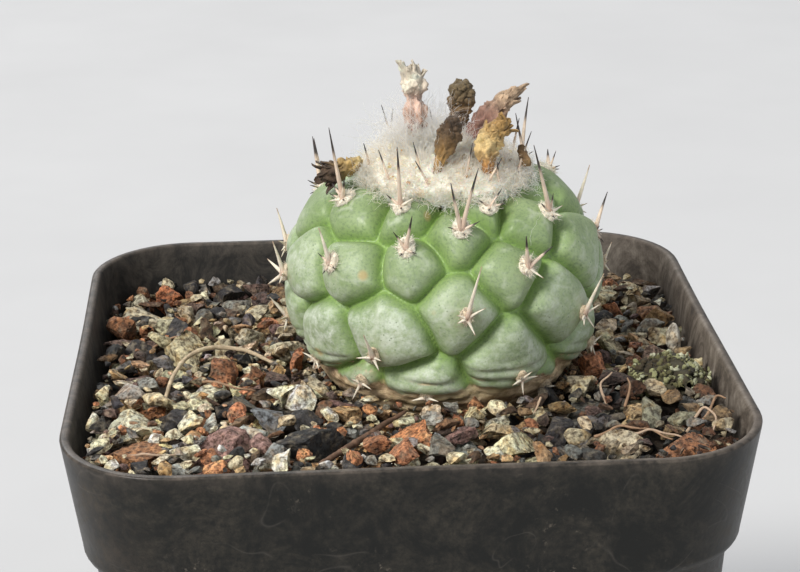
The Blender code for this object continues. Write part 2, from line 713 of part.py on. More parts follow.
def make_flowers():
    for name in FLOWERS:
        colour = material(name, FLOWER_COLOURS[name], 0.85)
        object_from(name, flower_loft(name), colour, smooth=False)


# ---------------------------------------------------------------- top dressing

def make_twigs():
    bark = material("twig_bark", (0.30, 0.20, 0.12), 0.8)
    for name, rows in TWIGS.items():
        stations = [(litter_point(degrees, share, lift * MM), radius * MM)
                    for degrees, share, lift, radius in rows]
        object_from(name, loft(stations, TWIG_SIDES, TWIG_CREASE, name), bark)


def rest_on_soil(bm, point):
    """Moves the bmesh over the point and down until it is a gap above the mix."""
    bmesh.ops.translate(bm, verts=bm.verts, vec=(point.x, point.y, 0))
    lift = max(soil_height(v.co.x, v.co.y) - v.co.z for v in bm.verts)
    bmesh.ops.translate(bm, verts=bm.verts, vec=(0, 0, lift + GAP))


def make_stone(name, place, size, turn, seed):
    rng = random.Random(seed)
    bm = bmesh.new()
    bmesh.ops.create_icosphere(bm, subdivisions=2, radius=0.5)
    for _ in range(STONE_FACETS):
        facet = Vector([rng.gauss(0, 1) for _ in range(3)]).normalized()
        depth = rng.uniform(0.34, 0.46)
        for v in bm.verts:
            v.co -= facet * max(0, v.co.dot(facet) - depth)
    for v in bm.verts:
        v.co = Vector((v.co.x * size[0], v.co.y * size[1], v.co.z * size[2])) * MM
    heading = math.radians(turn)
    for v in bm.verts:
        x, y, z = v.co
        v.co = Vector((x * math.cos(heading) - y * math.sin(heading),
                       x * math.sin(heading) + y * math.cos(heading), z))
    rest_on_soil(bm, litter_point(*place, 0))
    object_from(name, bm, material(name, STONE_COLOURS[name], 0.85), smooth=False)


def make_moss():
    _, way = way_to_wall(math.radians(MOSS_PLACE[0]))
    half = (way * MOSS_ALONG, way * MOSS_ACROSS, MOSS_HEIGHT)
    bm = bmesh.new()
    bmesh.ops.create_icosphere(bm, subdivisions=3, radius=1)
    for v in bm.verts:
        v.co *= 1 + MOSS_LUMP * noise.noise(v.co * 2.3)
        v.co = Vector([c * size for c, size in zip(v.co, half)])
        v.co.z = max(v.co.z, -MOSS_HEIGHT * MOSS_FLAT)
    rest_on_soil(bm, litter_point(*MOSS_PLACE, 0))
    object_from("moss_clump", bm, material("moss_clump", (0.14, 0.15, 0.08), 0.95))


def main():
    clear_scene()
    make_pot()
    make_soil()
    places = areole_places()
    stem = make_stem(places)
    surface = surface_of(stem)
    pad_material = material("spines", (0.78, 0.68, 0.55), 0.7)
    for number, place in enumerate(places, 1):
        make_areole(f"areole_{number:02d}", place, surface, pad_material)
    make_wool(pad_material)
    make_flowers()
    make_twigs()
    make_moss()
    for name, (place, size, turn, seed) in STONES.items():
        make_stone(name, place, size, turn, seed)


main()
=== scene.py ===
"""The look of the potted round cactus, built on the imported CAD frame.

Geometry is worked out in millimetres, with z measured from the pot's underside, and
written to meshes in metres. The stem's and the pot's sizes are those of the CAD part.
"""

import math
import random

import bmesh
import bpy
import numpy as np
from mathutils import Euler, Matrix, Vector


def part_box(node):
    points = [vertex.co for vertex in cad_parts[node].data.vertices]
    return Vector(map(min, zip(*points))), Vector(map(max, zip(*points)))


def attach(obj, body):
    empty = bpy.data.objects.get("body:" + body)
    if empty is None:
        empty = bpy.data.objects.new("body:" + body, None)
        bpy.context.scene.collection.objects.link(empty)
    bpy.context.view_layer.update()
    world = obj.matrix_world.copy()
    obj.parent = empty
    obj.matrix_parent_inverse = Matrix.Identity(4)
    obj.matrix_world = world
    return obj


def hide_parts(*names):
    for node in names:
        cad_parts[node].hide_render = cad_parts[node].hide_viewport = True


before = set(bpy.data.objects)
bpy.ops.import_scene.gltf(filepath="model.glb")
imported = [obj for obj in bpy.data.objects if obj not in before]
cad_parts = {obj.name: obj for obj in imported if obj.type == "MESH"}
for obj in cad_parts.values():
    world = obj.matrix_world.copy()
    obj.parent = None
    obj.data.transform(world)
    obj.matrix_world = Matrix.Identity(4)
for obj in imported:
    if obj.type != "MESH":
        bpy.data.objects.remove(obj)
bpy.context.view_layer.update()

MM = 0.001

# Sizes of the CAD part, in mm. Heights above the rim are measured from RIM.
RIM = 80.0
POT_HALF, POT_BASE_HALF, POT_WALL, POT_FLOOR = 35.0, 27.0, 1.0, 1.6
POT_CORNER, POT_BASE_CORNER = 11.5, 8.0
BAND_HEIGHT, BAND_TAPER, STEP_IN, STEP_DROP = 12.0, 1.6, 1.1, 2.0
DRAIN_RADIUS, DRAIN_OFFSET = 3.5, 15.0
SOIL_DROP, SOIL_SLOPE = 4.8, 0.06
STEM_X, STEM_RADIUS, STEM_WAIST, STEM_DOME, DOME_POWER, STEM_BOWL = 5.0, 17.3, 8.0, 12.3, 2.2, 17.5
COLLAR_LOW, NECK_RADIUS, NECK_LOW, ROOT_RADIUS, ROOT_LOW = -4.3, 10.5, -6.5, 1.6, -26.0
GROOVE_DEPTH, GROOVE_WIDTH, GROOVE_POWER, GROOVE_SOFTNESS = 1.75, 3.6, 2.8, 0.3
KNOB_HEIGHT, KNOB_SPREAD = 0.4, 1.8

# Each front areole: azimuth in degrees (0 faces front) and level (0 at the stem's widest,
# 100 at the top, -100 at the bowl's bottom), its tubercle's middle the same way, the lean of
# its spines in degrees, then the spines as (clock angle, length in mm).
FRONT_AREOLES = (
    (-110, 65, -95, 63, 15, ((-15, 5.4), (-60, 3.0), (70, 2.3))),
    (-62, 76, -50, 78, 12, ((2, 8.0), (30, 3.0), (-105, 1.8), (-45, 2.0))),
    (-27, 80, -30, 81, 15, ((5, 6.8), (-50, 1.9), (55, 2.1))),
    (-19, 55, -17, 48, 15, ((15, 4.0), (-25, 2.4), (110, 1.6))),
    (-48, 36, -43, 42, 15, ((0, 4.3), (-50, 1.6), (95, 1.6))),
    (-76, 10, -72, 24, 15, ((10, 4.2), (-75, 3.0), (-130, 3.0))),
    (20, 80, 20, 85, 15, ((30, 2.2), (-55, 2.0), (90, 1.8))),
    (3, 67, 1, 69, 15, ((10, 7.2), (-15, 5.6), (-70, 1.7), (60, 2.0))),
    (49, 68, 40, 75, 0, ((-20, 8.0), (20, 2.0), (95, 1.8), (-50, 2.2))),
    (108, 75, 90, 81, 15, ((55, 2.8), (-15, 2.2), (-65, 1.8))),
    (84, 34, 66, 44, 15, ((15, 4.5), (-50, 1.6), (105, 2.1))),
    (26, 38, 22, 40, 15, ((-15, 4.2), (45, 3.3), (140, 1.8))),
    (-29, -23, -27, -11, 15, ((0, 3.6), (-95, 1.7))),
    (-63, -42, -58, -29, 15, ((-55, 1.8), (95, 2.0))),
    (-38, -46, -46, -63, 15, ((-155, 2.1), (90, 1.8))),
    (-12, -53, -14, -60, 15, ((-90, 1.7), (85, 1.6))),
    (3, 5, 1, 11, 15, ((10, 6.4), (50, 2.4), (155, 1.9))),
    (51, -10, 42, 0, 15, ((-5, 5.6), (65, 2.2), (145, 2.2))),
    (25, -41, 23, -30, 15, ((20, 1.8), (-35, 1.6), (70, 1.8), (-95, 1.7), (-175, 1.6))),
    (70, -41, 70, -43, 15, ((45, 1.7), (155, 1.6))),
    (98, -6, 92, -9, 15, ((105, 2.2), (10, 2.6))),
    (44, -58, 52, -69, 15, ((90, 1.8),)),
    (-155, 69, -145, 65, 10, ((-12, 6.4), (20, 2.6), (70, 1.8))),
    (88, 86, 76, 86, -14, ((0, 7.4), (45, 2.4))),
)
BACK_RIBS = (
    (118, (28, -40)), (136, (69, -9)), (164, (37, -31)), (188, (77, 0, -54)),
    (210, (-3,)), (232, (49, -26)), (250, (8, -54)), (270, (-29,)),
)
BACK_SPINE_SEED = 4
BACK_SPINE_LENGTH, BACK_SPINE_GROWTH, SPINE_LEAN = 4.2, 0.033, 15
CELL_RISE, CELL_RISE_SLOPE = 6, 0.17
CROWN_CELLS, CROWN_CELL_RADIUS = 5, 3.0

# Of the visual model alone.
STEM_COLUMNS, STEM_ROWS, ROOT_ROWS = 520, 176, 14
POINTS_AT_ONCE = 20000
CENTRAL_SPINE_MM, SPINE_SIDES, HAIR_SIDES = 2.6, 8, 3
WOOL_COLUMNS, WOOL_ROWS, WOOL_UNDER = 150, 46, 1.3
CROWN_HAIRS, CRUMBS, WISPS = 9000, 110, 2600
FLOWER_ROWS, FLOWER_SIDES = 64, 40
LIP, LIP_BOW, WALL_BOW, PLASTIC_EDGE_DEGREES = 0.3, 0.1, 0.22, 50
BED_DROP, BED_COLUMNS, BED_GAP = 2.4, 200, 0.25
CELL_MM, HEAP_HALF, STONE_EDGE_DEGREES, MOSS_LOBES = 0.3, 34, 32, 560
HIGHEST_REST, ROOTLET_LIFT = 2.6, 0.9
BED_OPENING, STONES_OPENING = 11.2, 11.6
WOOL_RADIUS, HAIR_NODES, WISP_NODES = 9.4, 7, 12
DRILL_SIDES, DRILL_LENGTH = 40, 8


# ---------------------------------------------------------------- noise

def value_noise(points, size, seed):
    """Smooth noise from -1 to 1 with features of this size, at (n, 3) points."""
    p = points / size + seed * 17.137
    cell = np.floor(p).astype(np.int64)
    f = p - cell
    f = f * f * (3 - 2 * f)
    total = np.zeros(len(p))
    for corner in range(8):
        dx, dy, dz = corner & 1, corner >> 1 & 1, corner >> 2 & 1
        n = ((cell[:, 0] + dx) * 73856093) ^ ((cell[:, 1] + dy) * 19349663)
        n = n ^ ((cell[:, 2] + dz) * 83492791) ^ (seed * 40503)
        n = ((n ^ (n >> 13)) * 1274126177) & 0x7FFFFFFF
        n = ((n ^ (n >> 11)) * 668265263) & 0x7FFFFFFF
        value = n / 0x3FFFFFFF - 1
        weight = ((f[:, 0] if dx else 1 - f[:, 0]) * (f[:, 1] if dy else 1 - f[:, 1])
                  * (f[:, 2] if dz else 1 - f[:, 2]))
        total += weight * value
    return total


def layered_noise(points, size, seed, octaves=3, gain=0.5):
    total = np.zeros(len(points))
    share = 1.0
    for octave in range(octaves):
        total += share * value_noise(points, size / 2 ** octave, seed + octave)
        share *= gain
    return total


def smooth_step(low, high, value):
    t = np.clip((value - low) / (high - low), 0, 1)
    return t * t * (3 - 2 * t)


# ---------------------------------------------------------------- meshes

def build(name, verts, faces, paint, attributes=None, replaces=()):
    """A piece of the object from points in mm and triangles or quads, riding on the frame."""
    mesh = bpy.data.meshes.new(name)
    verts = np.ascontiguousarray(verts * MM, np.float32)
    sides = faces.shape[1]
    mesh.vertices.add(len(verts))
    mesh.vertices.foreach_set("co", verts.ravel())
    mesh.loops.add(faces.size)
    mesh.loops.foreach_set("vertex_index", faces.astype(np.int32).ravel())
    mesh.polygons.add(len(faces))
    mesh.polygons.foreach_set("loop_start", np.arange(len(faces), dtype=np.int32) * sides)
    mesh.update(calc_edges=True)
    for key, values in (attributes or {}).items():
        values = np.asarray(values, np.float32)
        if values.ndim == 1:
            made = mesh.attributes.new(key, "FLOAT", "POINT")
            made.data.foreach_set("value", values)
        else:
            made = mesh.attributes.new(key, "FLOAT_COLOR", "POINT")
            rgba = np.concatenate([values, np.ones((len(values), 1), np.float32)], axis=1)
            made.data.foreach_set("color", rgba.ravel())
    mesh.materials.append(paint)
    mesh.shade_smooth()
    obj = bpy.data.objects.new(name, mesh)
    bpy.context.scene.collection.objects.link(obj)
    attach(obj, "root")
    if replaces:
        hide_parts(*replaces)
    return obj


def joined(parts):
    """One set of verts, faces and attributes from several (verts, faces, attributes)."""
    verts, faces, start = [], [], 0
    keys = parts[0][2].keys()
    for part in parts:
        verts.append(part[0])
        faces.append(part[1] + start)
        start += len(part[0])
    attributes = {key: np.concatenate([part[2][key] for part in parts]) for key in keys}
    return np.concatenate(verts), np.concatenate(faces), attributes


def ball(subdivisions):
    """Points and triangles of a unit icosphere."""
    bm = bmesh.new()
    bmesh.ops.create_icosphere(bm, subdivisions=subdivisions, radius=1)
    verts = np.array([v.co[:] for v in bm.verts])
    faces = np.array([[v.index for v in face.verts] for face in bm.faces])
    bm.free()
    return verts, faces


BALLS = {n: ball(n) for n in (1, 2, 3, 4, 5)}


def unit(vectors):
    return vectors / np.maximum(np.linalg.norm(vectors, axis=-1, keepdims=True), 1e-12)


def tubes(paths, radii, sides):
    """Closed tubes along (n, k, 3) paths with (n, k) radii: points, triangles, along, which."""
    n, k, _ = paths.shape
    tangent = unit(np.gradient(paths, axis=1))
    mean = unit(tangent.mean(axis=1))
    reference = np.where(np.abs(mean[:, 2:3]) < 0.8, [[0.0, 0.0, 1.0]], [[1.0, 0.0, 0.0]])
    side = unit(np.cross(mean, reference))[:, None, :]
    side = unit(side - tangent * (tangent * side).sum(-1, keepdims=True))
    other = np.cross(tangent, side)
    turn = 2 * np.pi * np.arange(sides) / sides
    ring = (side[:, :, None, :] * np.cos(turn)[None, None, :, None]
            + other[:, :, None, :] * np.sin(turn)[None, None, :, None])
    verts = paths[:, :, None, :] + ring * radii[:, :, None, None]
    index = np.arange(n * k * sides).reshape(n, k, sides)
    a, b = index[:, :-1], index[:, 1:]
    a2, b2 = np.roll(a, -1, axis=2), np.roll(b, -1, axis=2)
    faces = [np.stack([a, a2, b2], -1).reshape(-1, 3), np.stack([a, b2, b], -1).reshape(-1, 3)]
    for j in range(1, sides - 1):
        faces.append(np.stack([index[:, 0, 0], index[:, 0, j + 1], index[:, 0, j]], -1))
        faces.append(np.stack([index[:, -1, 0], index[:, -1, j], index[:, -1, j + 1]], -1))
    along = np.broadcast_to((np.arange(k) / (k - 1))[None, :, None], (n, k, sides)).reshape(-1)
    which = np.repeat(np.arange(n), k * sides)
    return verts.reshape(-1, 3), np.concatenate(faces), along, which


def smooth_path(stations, count):
    """A Catmull-Rom line through stations, each a row of numbers, as count rows."""
    rows = np.asarray(stations, float)
    ends = np.concatenate([2 * rows[:1] - rows[1:2], rows, 2 * rows[-1:] - rows[-2:-1]])
    at = np.linspace(0, len(rows) - 1 - 1e-9, count)
    i = at.astype(int)
    t = (at - i)[:, None]
    p0, p1, p2, p3 = ends[i], ends[i + 1], ends[i + 2], ends[i + 3]
    return 0.5 * (2 * p1 + (p2 - p0) * t + (2 * p0 - 5 * p1 + 4 * p2 - p3) * t ** 2
                  + (3 * p1 - p0 - 3 * p2 + p3) * t ** 3)


def grid_faces(rows, columns, wrap):
    """Quads between neighbours of a rows by columns grid of points."""
    index = np.arange(rows * columns).reshape(rows, columns)
    right = np.roll(index, -1, axis=1) if wrap else index[:, 1:]
    left = index if wrap else index[:, :-1]
    return np.stack([left[:-1], right[:-1], right[1:], left[1:]], -1).reshape(-1, 4)


def sheet(points, thickness):
    """A thin closed leaf from a (u, v, 3) grid of points: points and quads."""
    rows, columns, _ = points.shape
    du = np.gradient(points, axis=0)
    dv = np.gradient(points, axis=1)
    normal = unit(np.cross(du, dv))
    front = (points + normal * thickness / 2).reshape(-1, 3)
    back = (points - normal * thickness / 2).reshape(-1, 3)
    quads = grid_faces(rows, columns, False)
    count = rows * columns
    index = np.arange(count).reshape(rows, columns)
    edge = np.concatenate([index[0, :-1], index[:-1, -1], index[-1, :0:-1], index[:0:-1, 0]])
    after = np.roll(edge, -1)
    rim = np.stack([edge, edge + count, after + count, after], -1)
    faces = np.concatenate([quads[:, ::-1], quads + count, rim[:, ::-1]])
    return np.concatenate([front, back]), faces


def triangles(quads):
    return np.concatenate([quads[:, [0, 1, 2]], quads[:, [0, 2, 3]]])


def capped(rings, start, end, turned_out=True):
    """Points and triangles of a closed skin over (rows, columns, 3) rings, ended by two points."""
    count, columns, _ = rings.shape
    quads = grid_faces(count, columns, True)
    ring, after = np.arange(columns), np.roll(np.arange(columns), -1)
    if turned_out:
        quads = quads[:, ::-1]
    else:
        ring, after = after, ring
    last = (count - 1) * columns
    tip = np.full(columns, count * columns)
    faces = [triangles(quads), np.stack([ring, after, tip], -1),
             np.stack([last + after, last + ring, tip + 1], -1)]
    verts = np.concatenate([rings.reshape(-1, 3), [start, end]])
    return verts, np.concatenate(faces)


def strands(start, heading, length, nodes, rng, wander, drift=0.0):
    """Hairs from start along heading that turn a little at random at each of their nodes."""
    path = np.empty((len(start), nodes, 3))
    path[:, 0] = start
    for k in range(1, nodes):
        heading = unit(heading + drift + rng.normal(0, wander, (len(start), 3)))
        path[:, k] = path[:, k - 1] + heading * (length / (nodes - 1))[:, None]
    return path


def patchy(points, size, seed, strength):
    """A column of factors about 1 that vary over the points."""
    return np.exp(strength * layered_noise(points, size, seed))[:, None]


def node_box(name):
    """The middle and the sizes of a CAD node's box, in mm."""
    low, high = (np.array(corner[:]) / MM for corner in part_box(name))
    return (low + high) / 2, high - low


# ---------------------------------------------------------------- materials

class Paint:
    """A material with a Principled shader and short ways to add texture nodes to it."""

    def __init__(self, name, roughness):
        self.made = bpy.data.materials.new(name)
        self.made.use_nodes = True
        self.tree = self.made.node_tree
        self.shader = self.tree.nodes["Principled BSDF"]
        self.shader.inputs["Roughness"].default_value = roughness
        self.coords = self.tree.nodes.new("ShaderNodeTexCoord").outputs["Object"]

    def node(self, kind, **settings):
        made = self.tree.nodes.new(kind)
        for key, value in settings.items():
            setattr(made, key, value)
        return made

    def feed(self, socket, value):
        if isinstance(value, bpy.types.NodeSocket):
            self.tree.links.new(value, socket)
        elif socket.type == "RGBA":
            socket.default_value = (*value, 1)
        else:
            socket.default_value = value

    def place(self, stretch):
        if stretch is None:
            return self.coords
        mapping = self.node("ShaderNodeMapping")
        self.feed(mapping.inputs["Vector"], self.coords)
        mapping.inputs["Scale"].default_value = stretch
        return mapping.outputs["Vector"]

    def noise(self, size_mm, detail=4, rough=0.6, stretch=None, distortion=0.0):
        made = self.node("ShaderNodeTexNoise")
        self.feed(made.inputs["Vector"], self.place(stretch))
        made.inputs["Scale"].default_value = 1000 / size_mm
        made.inputs["Detail"].default_value = detail
        made.inputs["Roughness"].default_value = rough
        made.inputs["Distortion"].default_value = distortion
        return made.outputs["Fac"]

    def cells(self, size_mm, stretch=None, feature="F1"):
        made = self.node("ShaderNodeTexVoronoi", feature=feature)
        self.feed(made.inputs["Vector"], self.place(stretch))
        made.inputs["Scale"].default_value = 1000 / size_mm
        return made.outputs["Distance"]

    def attribute(self, name, output="Fac"):
        made = self.node("ShaderNodeAttribute", attribute_name=name)
        return made.outputs[output]

    def ramp(self, value, stops):
        made = self.node("ShaderNodeValToRGB")
        self.feed(made.inputs["Fac"], value)
        elements = made.color_ramp.elements
        while len(elements) < len(stops):
            elements.new(0.5)
        for element, (position, colour) in zip(elements, stops):
            element.position = position
            rgb = (colour,) * 3 if isinstance(colour, (int, float)) else colour
            element.color = (*rgb, 1)
        return made.outputs["Color"]

    def mix(self, factor, a, b, blend="MIX"):
        made = self.node("ShaderNodeMix", data_type="RGBA", blend_type=blend)
        self.feed(made.inputs[0], factor)
        self.feed(made.inputs[6], a)
        self.feed(made.inputs[7], b)
        return made.outputs[2]

    def math(self, operation, a, b):
        made = self.node("ShaderNodeMath", operation=operation)
        self.feed(made.inputs[0], a)
        self.feed(made.inputs[1], b)
        return made.outputs[0]

    def bump(self, height, distance_mm, strength=1.0, under=None):
        made = self.node("ShaderNodeBump")
        self.feed(made.inputs["Height"], height)
        made.inputs["Distance"].default_value = distance_mm * MM
        made.inputs["Strength"].default_value = strength
        if under is not None:
            self.feed(made.inputs["Normal"], under)
        return made.outputs["Normal"]

    def finish(self, colour=None, roughness=None, normal=None):
        for key, value in (("Base Color", colour), ("Roughness", roughness), ("Normal", normal)):
            if value is not None:
                self.feed(self.shader.inputs[key], value)
        return self.made


def skin_paint():
    """Waxy green skin: yellow-green in the grooves, grey frost on the faces, paler on the left side
    as painted light, pale painted highlight streaks, cork low down.
    """
    p = Paint("cactus_skin", 0.5)
    share = p.attribute("cushion")
    bloom_and_painted_light = p.attribute("bloom_and_painted_light")
    cork = p.attribute("cork")
    large = p.noise(7.0, 3, 0.55)
    fine = p.noise(0.8, 6, 0.7)
    green = p.mix(p.ramp(large, [(0.35, 0.0), (0.68, 1.0)]), (0.185, 0.262, 0.106),
                  (0.265, 0.345, 0.166))
    groove = p.ramp(share, [(0.0, 1.0), (0.3, 0.5), (0.8, 0.0)])
    green = p.mix(groove, green, (0.215, 0.345, 0.085))
    grain = p.ramp(p.noise(0.30, 3, 0.6), [(0.36, 1.0), (0.52, 0.0)])
    green = p.mix(p.math("MULTIPLY", grain, 0.42), green, (0.085, 0.135, 0.07))
    # The grey frost on the faces: real frost, made paler on the left side by painted light.
    dust = p.math("MULTIPLY", bloom_and_painted_light, p.ramp(fine, [(0.34, 0.25), (0.6, 1.0)]))
    cloud = p.ramp(p.noise(2.6, 7, 0.74, None, 0.8), [(0.40, 0.30), (0.60, 1.0)])
    dust = p.math("MULTIPLY", dust, cloud)
    green = p.mix(dust, green, (0.60, 0.65, 0.56))
    halo = p.math("MULTIPLY", p.attribute("halo"), p.ramp(fine, [(0.42, 0.0), (0.58, 0.75)]))
    green = p.mix(halo, green, (0.17, 0.15, 0.055))
    # Painted highlights: pale streaks along cell edges on the faces, standing in for light catching
    # the tubercles' ridges.
    painted_highlight_streaks = p.ramp(p.cells(3.4, (1.0, 1.0, 1.4), "DISTANCE_TO_EDGE"), [(0.01, 0.28), (0.10, 0.0)])
    painted_highlight_streaks = p.math("MULTIPLY", painted_highlight_streaks, p.ramp(p.noise(2.2, 3), [(0.45, 0.0), (0.62, 1.0)]))
    painted_highlight_streaks = p.math("MULTIPLY", painted_highlight_streaks, p.ramp(share, [(0.4, 0.0), (0.8, 1.0)]))
    green = p.mix(painted_highlight_streaks, green, (0.60, 0.63, 0.54))
    specks = p.ramp(p.cells(0.5), [(0.1, 1.0), (0.24, 0.0)])
    gate = p.ramp(p.noise(1.6, 2), [(0.46, 0.0), (0.60, 0.6)])
    green = p.mix(p.math("MULTIPLY", specks, gate), green, (0.08, 0.13, 0.05))
    scars = p.ramp(p.cells(9.0), [(0.035, 0.8), (0.075, 0.0)])
    green = p.mix(scars, green, (0.42, 0.32, 0.14))
    strips = p.ramp(p.noise(1.6, 8, 0.78, (0.55, 0.55, 1.5)), [(0.38, 0.0), (0.60, 1.0)])
    bark = p.mix(strips, (0.16, 0.092, 0.045), (0.70, 0.55, 0.35))
    bark = p.mix(p.ramp(large, [(0.5, 0.0), (0.62, 0.5)]), bark, (0.22, 0.21, 0.10))
    edge = p.ramp(p.math("ADD", cork, p.math("MULTIPLY", p.math("SUBTRACT", fine, 0.5), 0.9)),
                  [(0.36, 0.0), (0.60, 1.0)])
    colour = p.mix(edge, green, bark)
    rough = p.ramp(p.math("ADD", p.math("MULTIPLY", dust, 0.3), p.math("MULTIPLY", fine, 0.4)),
                   [(0.1, 0.38), (0.6, 0.66)])
    normal = p.bump(p.noise(0.35, 4, 0.6), 0.07, 0.7)
    normal = p.bump(p.noise(2.4, 4, 0.55), 0.16, 0.5, normal)
    p.shader.inputs["Subsurface Weight"].default_value = 0.06
    p.shader.inputs["Subsurface Radius"].default_value = (0.6, 0.9, 0.4)
    p.shader.inputs["Subsurface Scale"].default_value = 0.0006
    return p.finish(colour, rough, normal)


def grit_paint(name, pore_mm, pore_depth, grain_mm, dust, stain):
    """Broken stone in its own tint: mottled, stained, pitted with pores darkened by painted shade,
    with pale dust on it.
    """
    p = Paint(name, 0.85)
    tint = p.attribute("tint", "Color")
    fine = p.noise(grain_mm, 6, 0.74)
    coarse = p.noise(grain_mm * 2.6, 5, 0.65, None, 0.5)
    colour = p.mix(p.ramp(coarse, [(0.48, 0.0), (0.62, 0.75)]), tint, stain, "MULTIPLY")
    light = p.ramp(p.noise(grain_mm * 1.7, 5, 0.66), [(0.48, 0.0), (0.66, 0.8)])
    colour = p.mix(light, colour, (1.75, 1.68, 1.55), "MULTIPLY")
    dark = p.ramp(fine, [(0.40, 1.0), (0.56, 0.0)])
    colour = p.mix(dark, colour, (0.20, 0.165, 0.14), "MULTIPLY")
    pores = p.cells(pore_mm)
    # Painted shade: the pores are darkened where shade would fall inside them.
    painted_pore_shade = p.ramp(pores, [(0.12, 1.0), (0.36, 0.0)])
    painted_pore_shade = p.math("MULTIPLY", painted_pore_shade, p.ramp(coarse, [(0.40, 0.7), (0.6, 0.1)]))
    colour = p.mix(painted_pore_shade, colour, (0.045, 0.033, 0.025))
    powder = p.ramp(p.noise(1.3, 5, 0.68), [(0.52, 0.0), (0.72, dust)])
    colour = p.mix(powder, colour, (0.50, 0.42, 0.29))
    normal = p.bump(fine, 0.34, 0.9)
    normal = p.bump(p.ramp(pores, [(0.08, 0.0), (0.4, 1.0)]), pore_depth, 0.9, normal)
    rough = p.ramp(fine, [(0.3, 0.95), (0.7, 0.72)])
    return p.finish(colour, rough, normal)


def bed_paint():
    p = Paint("growing_mix", 0.95)
    fine = p.noise(0.5, 5, 0.7)
    colour = p.ramp(fine, [(0.3, (0.015, 0.011, 0.008)), (0.55, (0.06, 0.042, 0.028)),
                           (0.75, (0.15, 0.105, 0.065))])
    return p.finish(colour, p.ramp(fine, [(0.3, 0.98), (0.7, 0.85)]), p.bump(fine, 0.3))


def pot_paint():
    """Black plastic, dusty and scuffed outside, with limescale streaks down the inside and a
    painted highlight along the top of the rim.
    """
    p = Paint("pot_plastic", 0.5)
    inner = p.attribute("inner")
    edge = p.attribute("edge")
    blotch = p.noise(7.0, 8, 0.78, None, 0.6)
    fine = p.noise(0.8, 6, 0.74)
    grime = p.math("MULTIPLY", p.ramp(blotch, [(0.42, 0.0), (0.70, 1.0)]),
                   p.ramp(fine, [(0.36, 0.05), (0.62, 1.0)]))
    outside = p.mix(grime, (0.0090, 0.0093, 0.0086), (0.050, 0.043, 0.033))
    # Lighter and browner near the top of the left-front corner.
    corner = p.math("MULTIPLY", p.attribute("corner"),
                    p.ramp(p.noise(3.0, 8, 0.78), [(0.38, 0.0), (0.66, 0.75)]))
    outside = p.mix(corner, outside, (0.15, 0.105, 0.07))
    scratch = p.ramp(p.noise(14.0, 2, 0.4, None, 1.2), [(0.494, 0.0), (0.5, 0.5), (0.506, 0.0)])
    gaps = p.ramp(p.noise(6.0, 4), [(0.50, 0.0), (0.60, 0.6)])
    outside = p.mix(p.math("MULTIPLY", scratch, gaps), outside, (0.09, 0.08, 0.07))
    scuff = p.math("MULTIPLY", p.ramp(p.noise(0.9, 4, 0.7), [(0.60, 0.0), (0.70, 1.0)]),
                   p.ramp(p.noise(8.0, 4, 0.6), [(0.54, 0.0), (0.66, 0.55)]))
    outside = p.mix(scuff, outside, (0.17, 0.145, 0.115))
    streaks = p.math("ADD", p.math("MULTIPLY", p.noise(1.8, 6, 0.7, (1.0, 1.0, 0.5)), 0.2),
                     p.math("MULTIPLY", p.noise(5.0, 8, 0.78, (1.0, 1.0, 0.85), 1.1), 0.8))
    p.shader.inputs["Specular IOR Level"].default_value = 0.22
    scale = p.ramp(streaks, [(0.36, (0.032, 0.028, 0.025)), (0.47, (0.09, 0.073, 0.058)),
                             (0.56, (0.17, 0.145, 0.12)), (0.68, (0.30, 0.265, 0.23))])
    clean = p.mix(p.ramp(streaks, [(0.45, 0.0), (0.65, 1.0)]), (0.020, 0.019, 0.018),
                  (0.075, 0.066, 0.056))
    inside = p.mix(p.attribute("clean"), scale, clean)
    colour = p.mix(inner, outside, inside)
    # Painted highlight: the top of the rim is painted lighter, broken up with noise.
    painted_rim_highlight = p.math("MULTIPLY", edge, p.ramp(p.noise(2.0, 5, 0.7), [(0.38, 0.1), (0.65, 0.8)]))
    colour = p.mix(painted_rim_highlight, colour, (0.12, 0.098, 0.08))
    rough = p.ramp(p.math("ADD", p.math("MULTIPLY", grime, 0.3), p.math("MULTIPLY", inner, 0.3)),
                   [(0.0, 0.36), (0.5, 0.75)])
    normal = p.bump(p.noise(0.5, 4, 0.6), 0.02, 0.6)
    normal = p.bump(p.noise(5.0, 3), 0.25, 0.35, normal)
    normal = p.bump(p.math("MULTIPLY", streaks, inner), 0.15, 0.6, normal)
    return p.finish(colour, rough, normal)


def tinted_paint(name, roughness, grain_mm, contrast, bump_mm, stretch=None, sheen=0.0, glow=0.0,
                 glow_mm=0.5):
    """A surface in its own tint with streaks or grain."""
    p = Paint(name, roughness)
    tint = p.attribute("tint", "Color")
    fine = p.noise(grain_mm, 5, 0.65, stretch)
    dark = p.ramp(fine, [(0.3, 1 - contrast), (0.7, 1.0)])
    colour = p.mix(1.0, tint, dark, "MULTIPLY")
    normal = p.bump(fine, bump_mm, 0.8)
    if sheen:
        p.shader.inputs["Sheen Weight"].default_value = sheen
    if glow:
        p.shader.inputs["Subsurface Weight"].default_value = glow
        p.shader.inputs["Subsurface Radius"].default_value = (1.0, 0.7, 0.5)
        p.shader.inputs["Subsurface Scale"].default_value = glow_mm * MM
    rough = p.ramp(fine, [(0.3, min(1.0, roughness + 0.1)), (0.7, roughness - 0.08)])
    return p.finish(colour, rough, normal)


# ---------------------------------------------------------------- stem

def stem_height(level):
    """Height above the rim of a level on the stem."""
    return STEM_WAIST + (STEM_DOME if level > 0 else STEM_BOWL) * level / 100


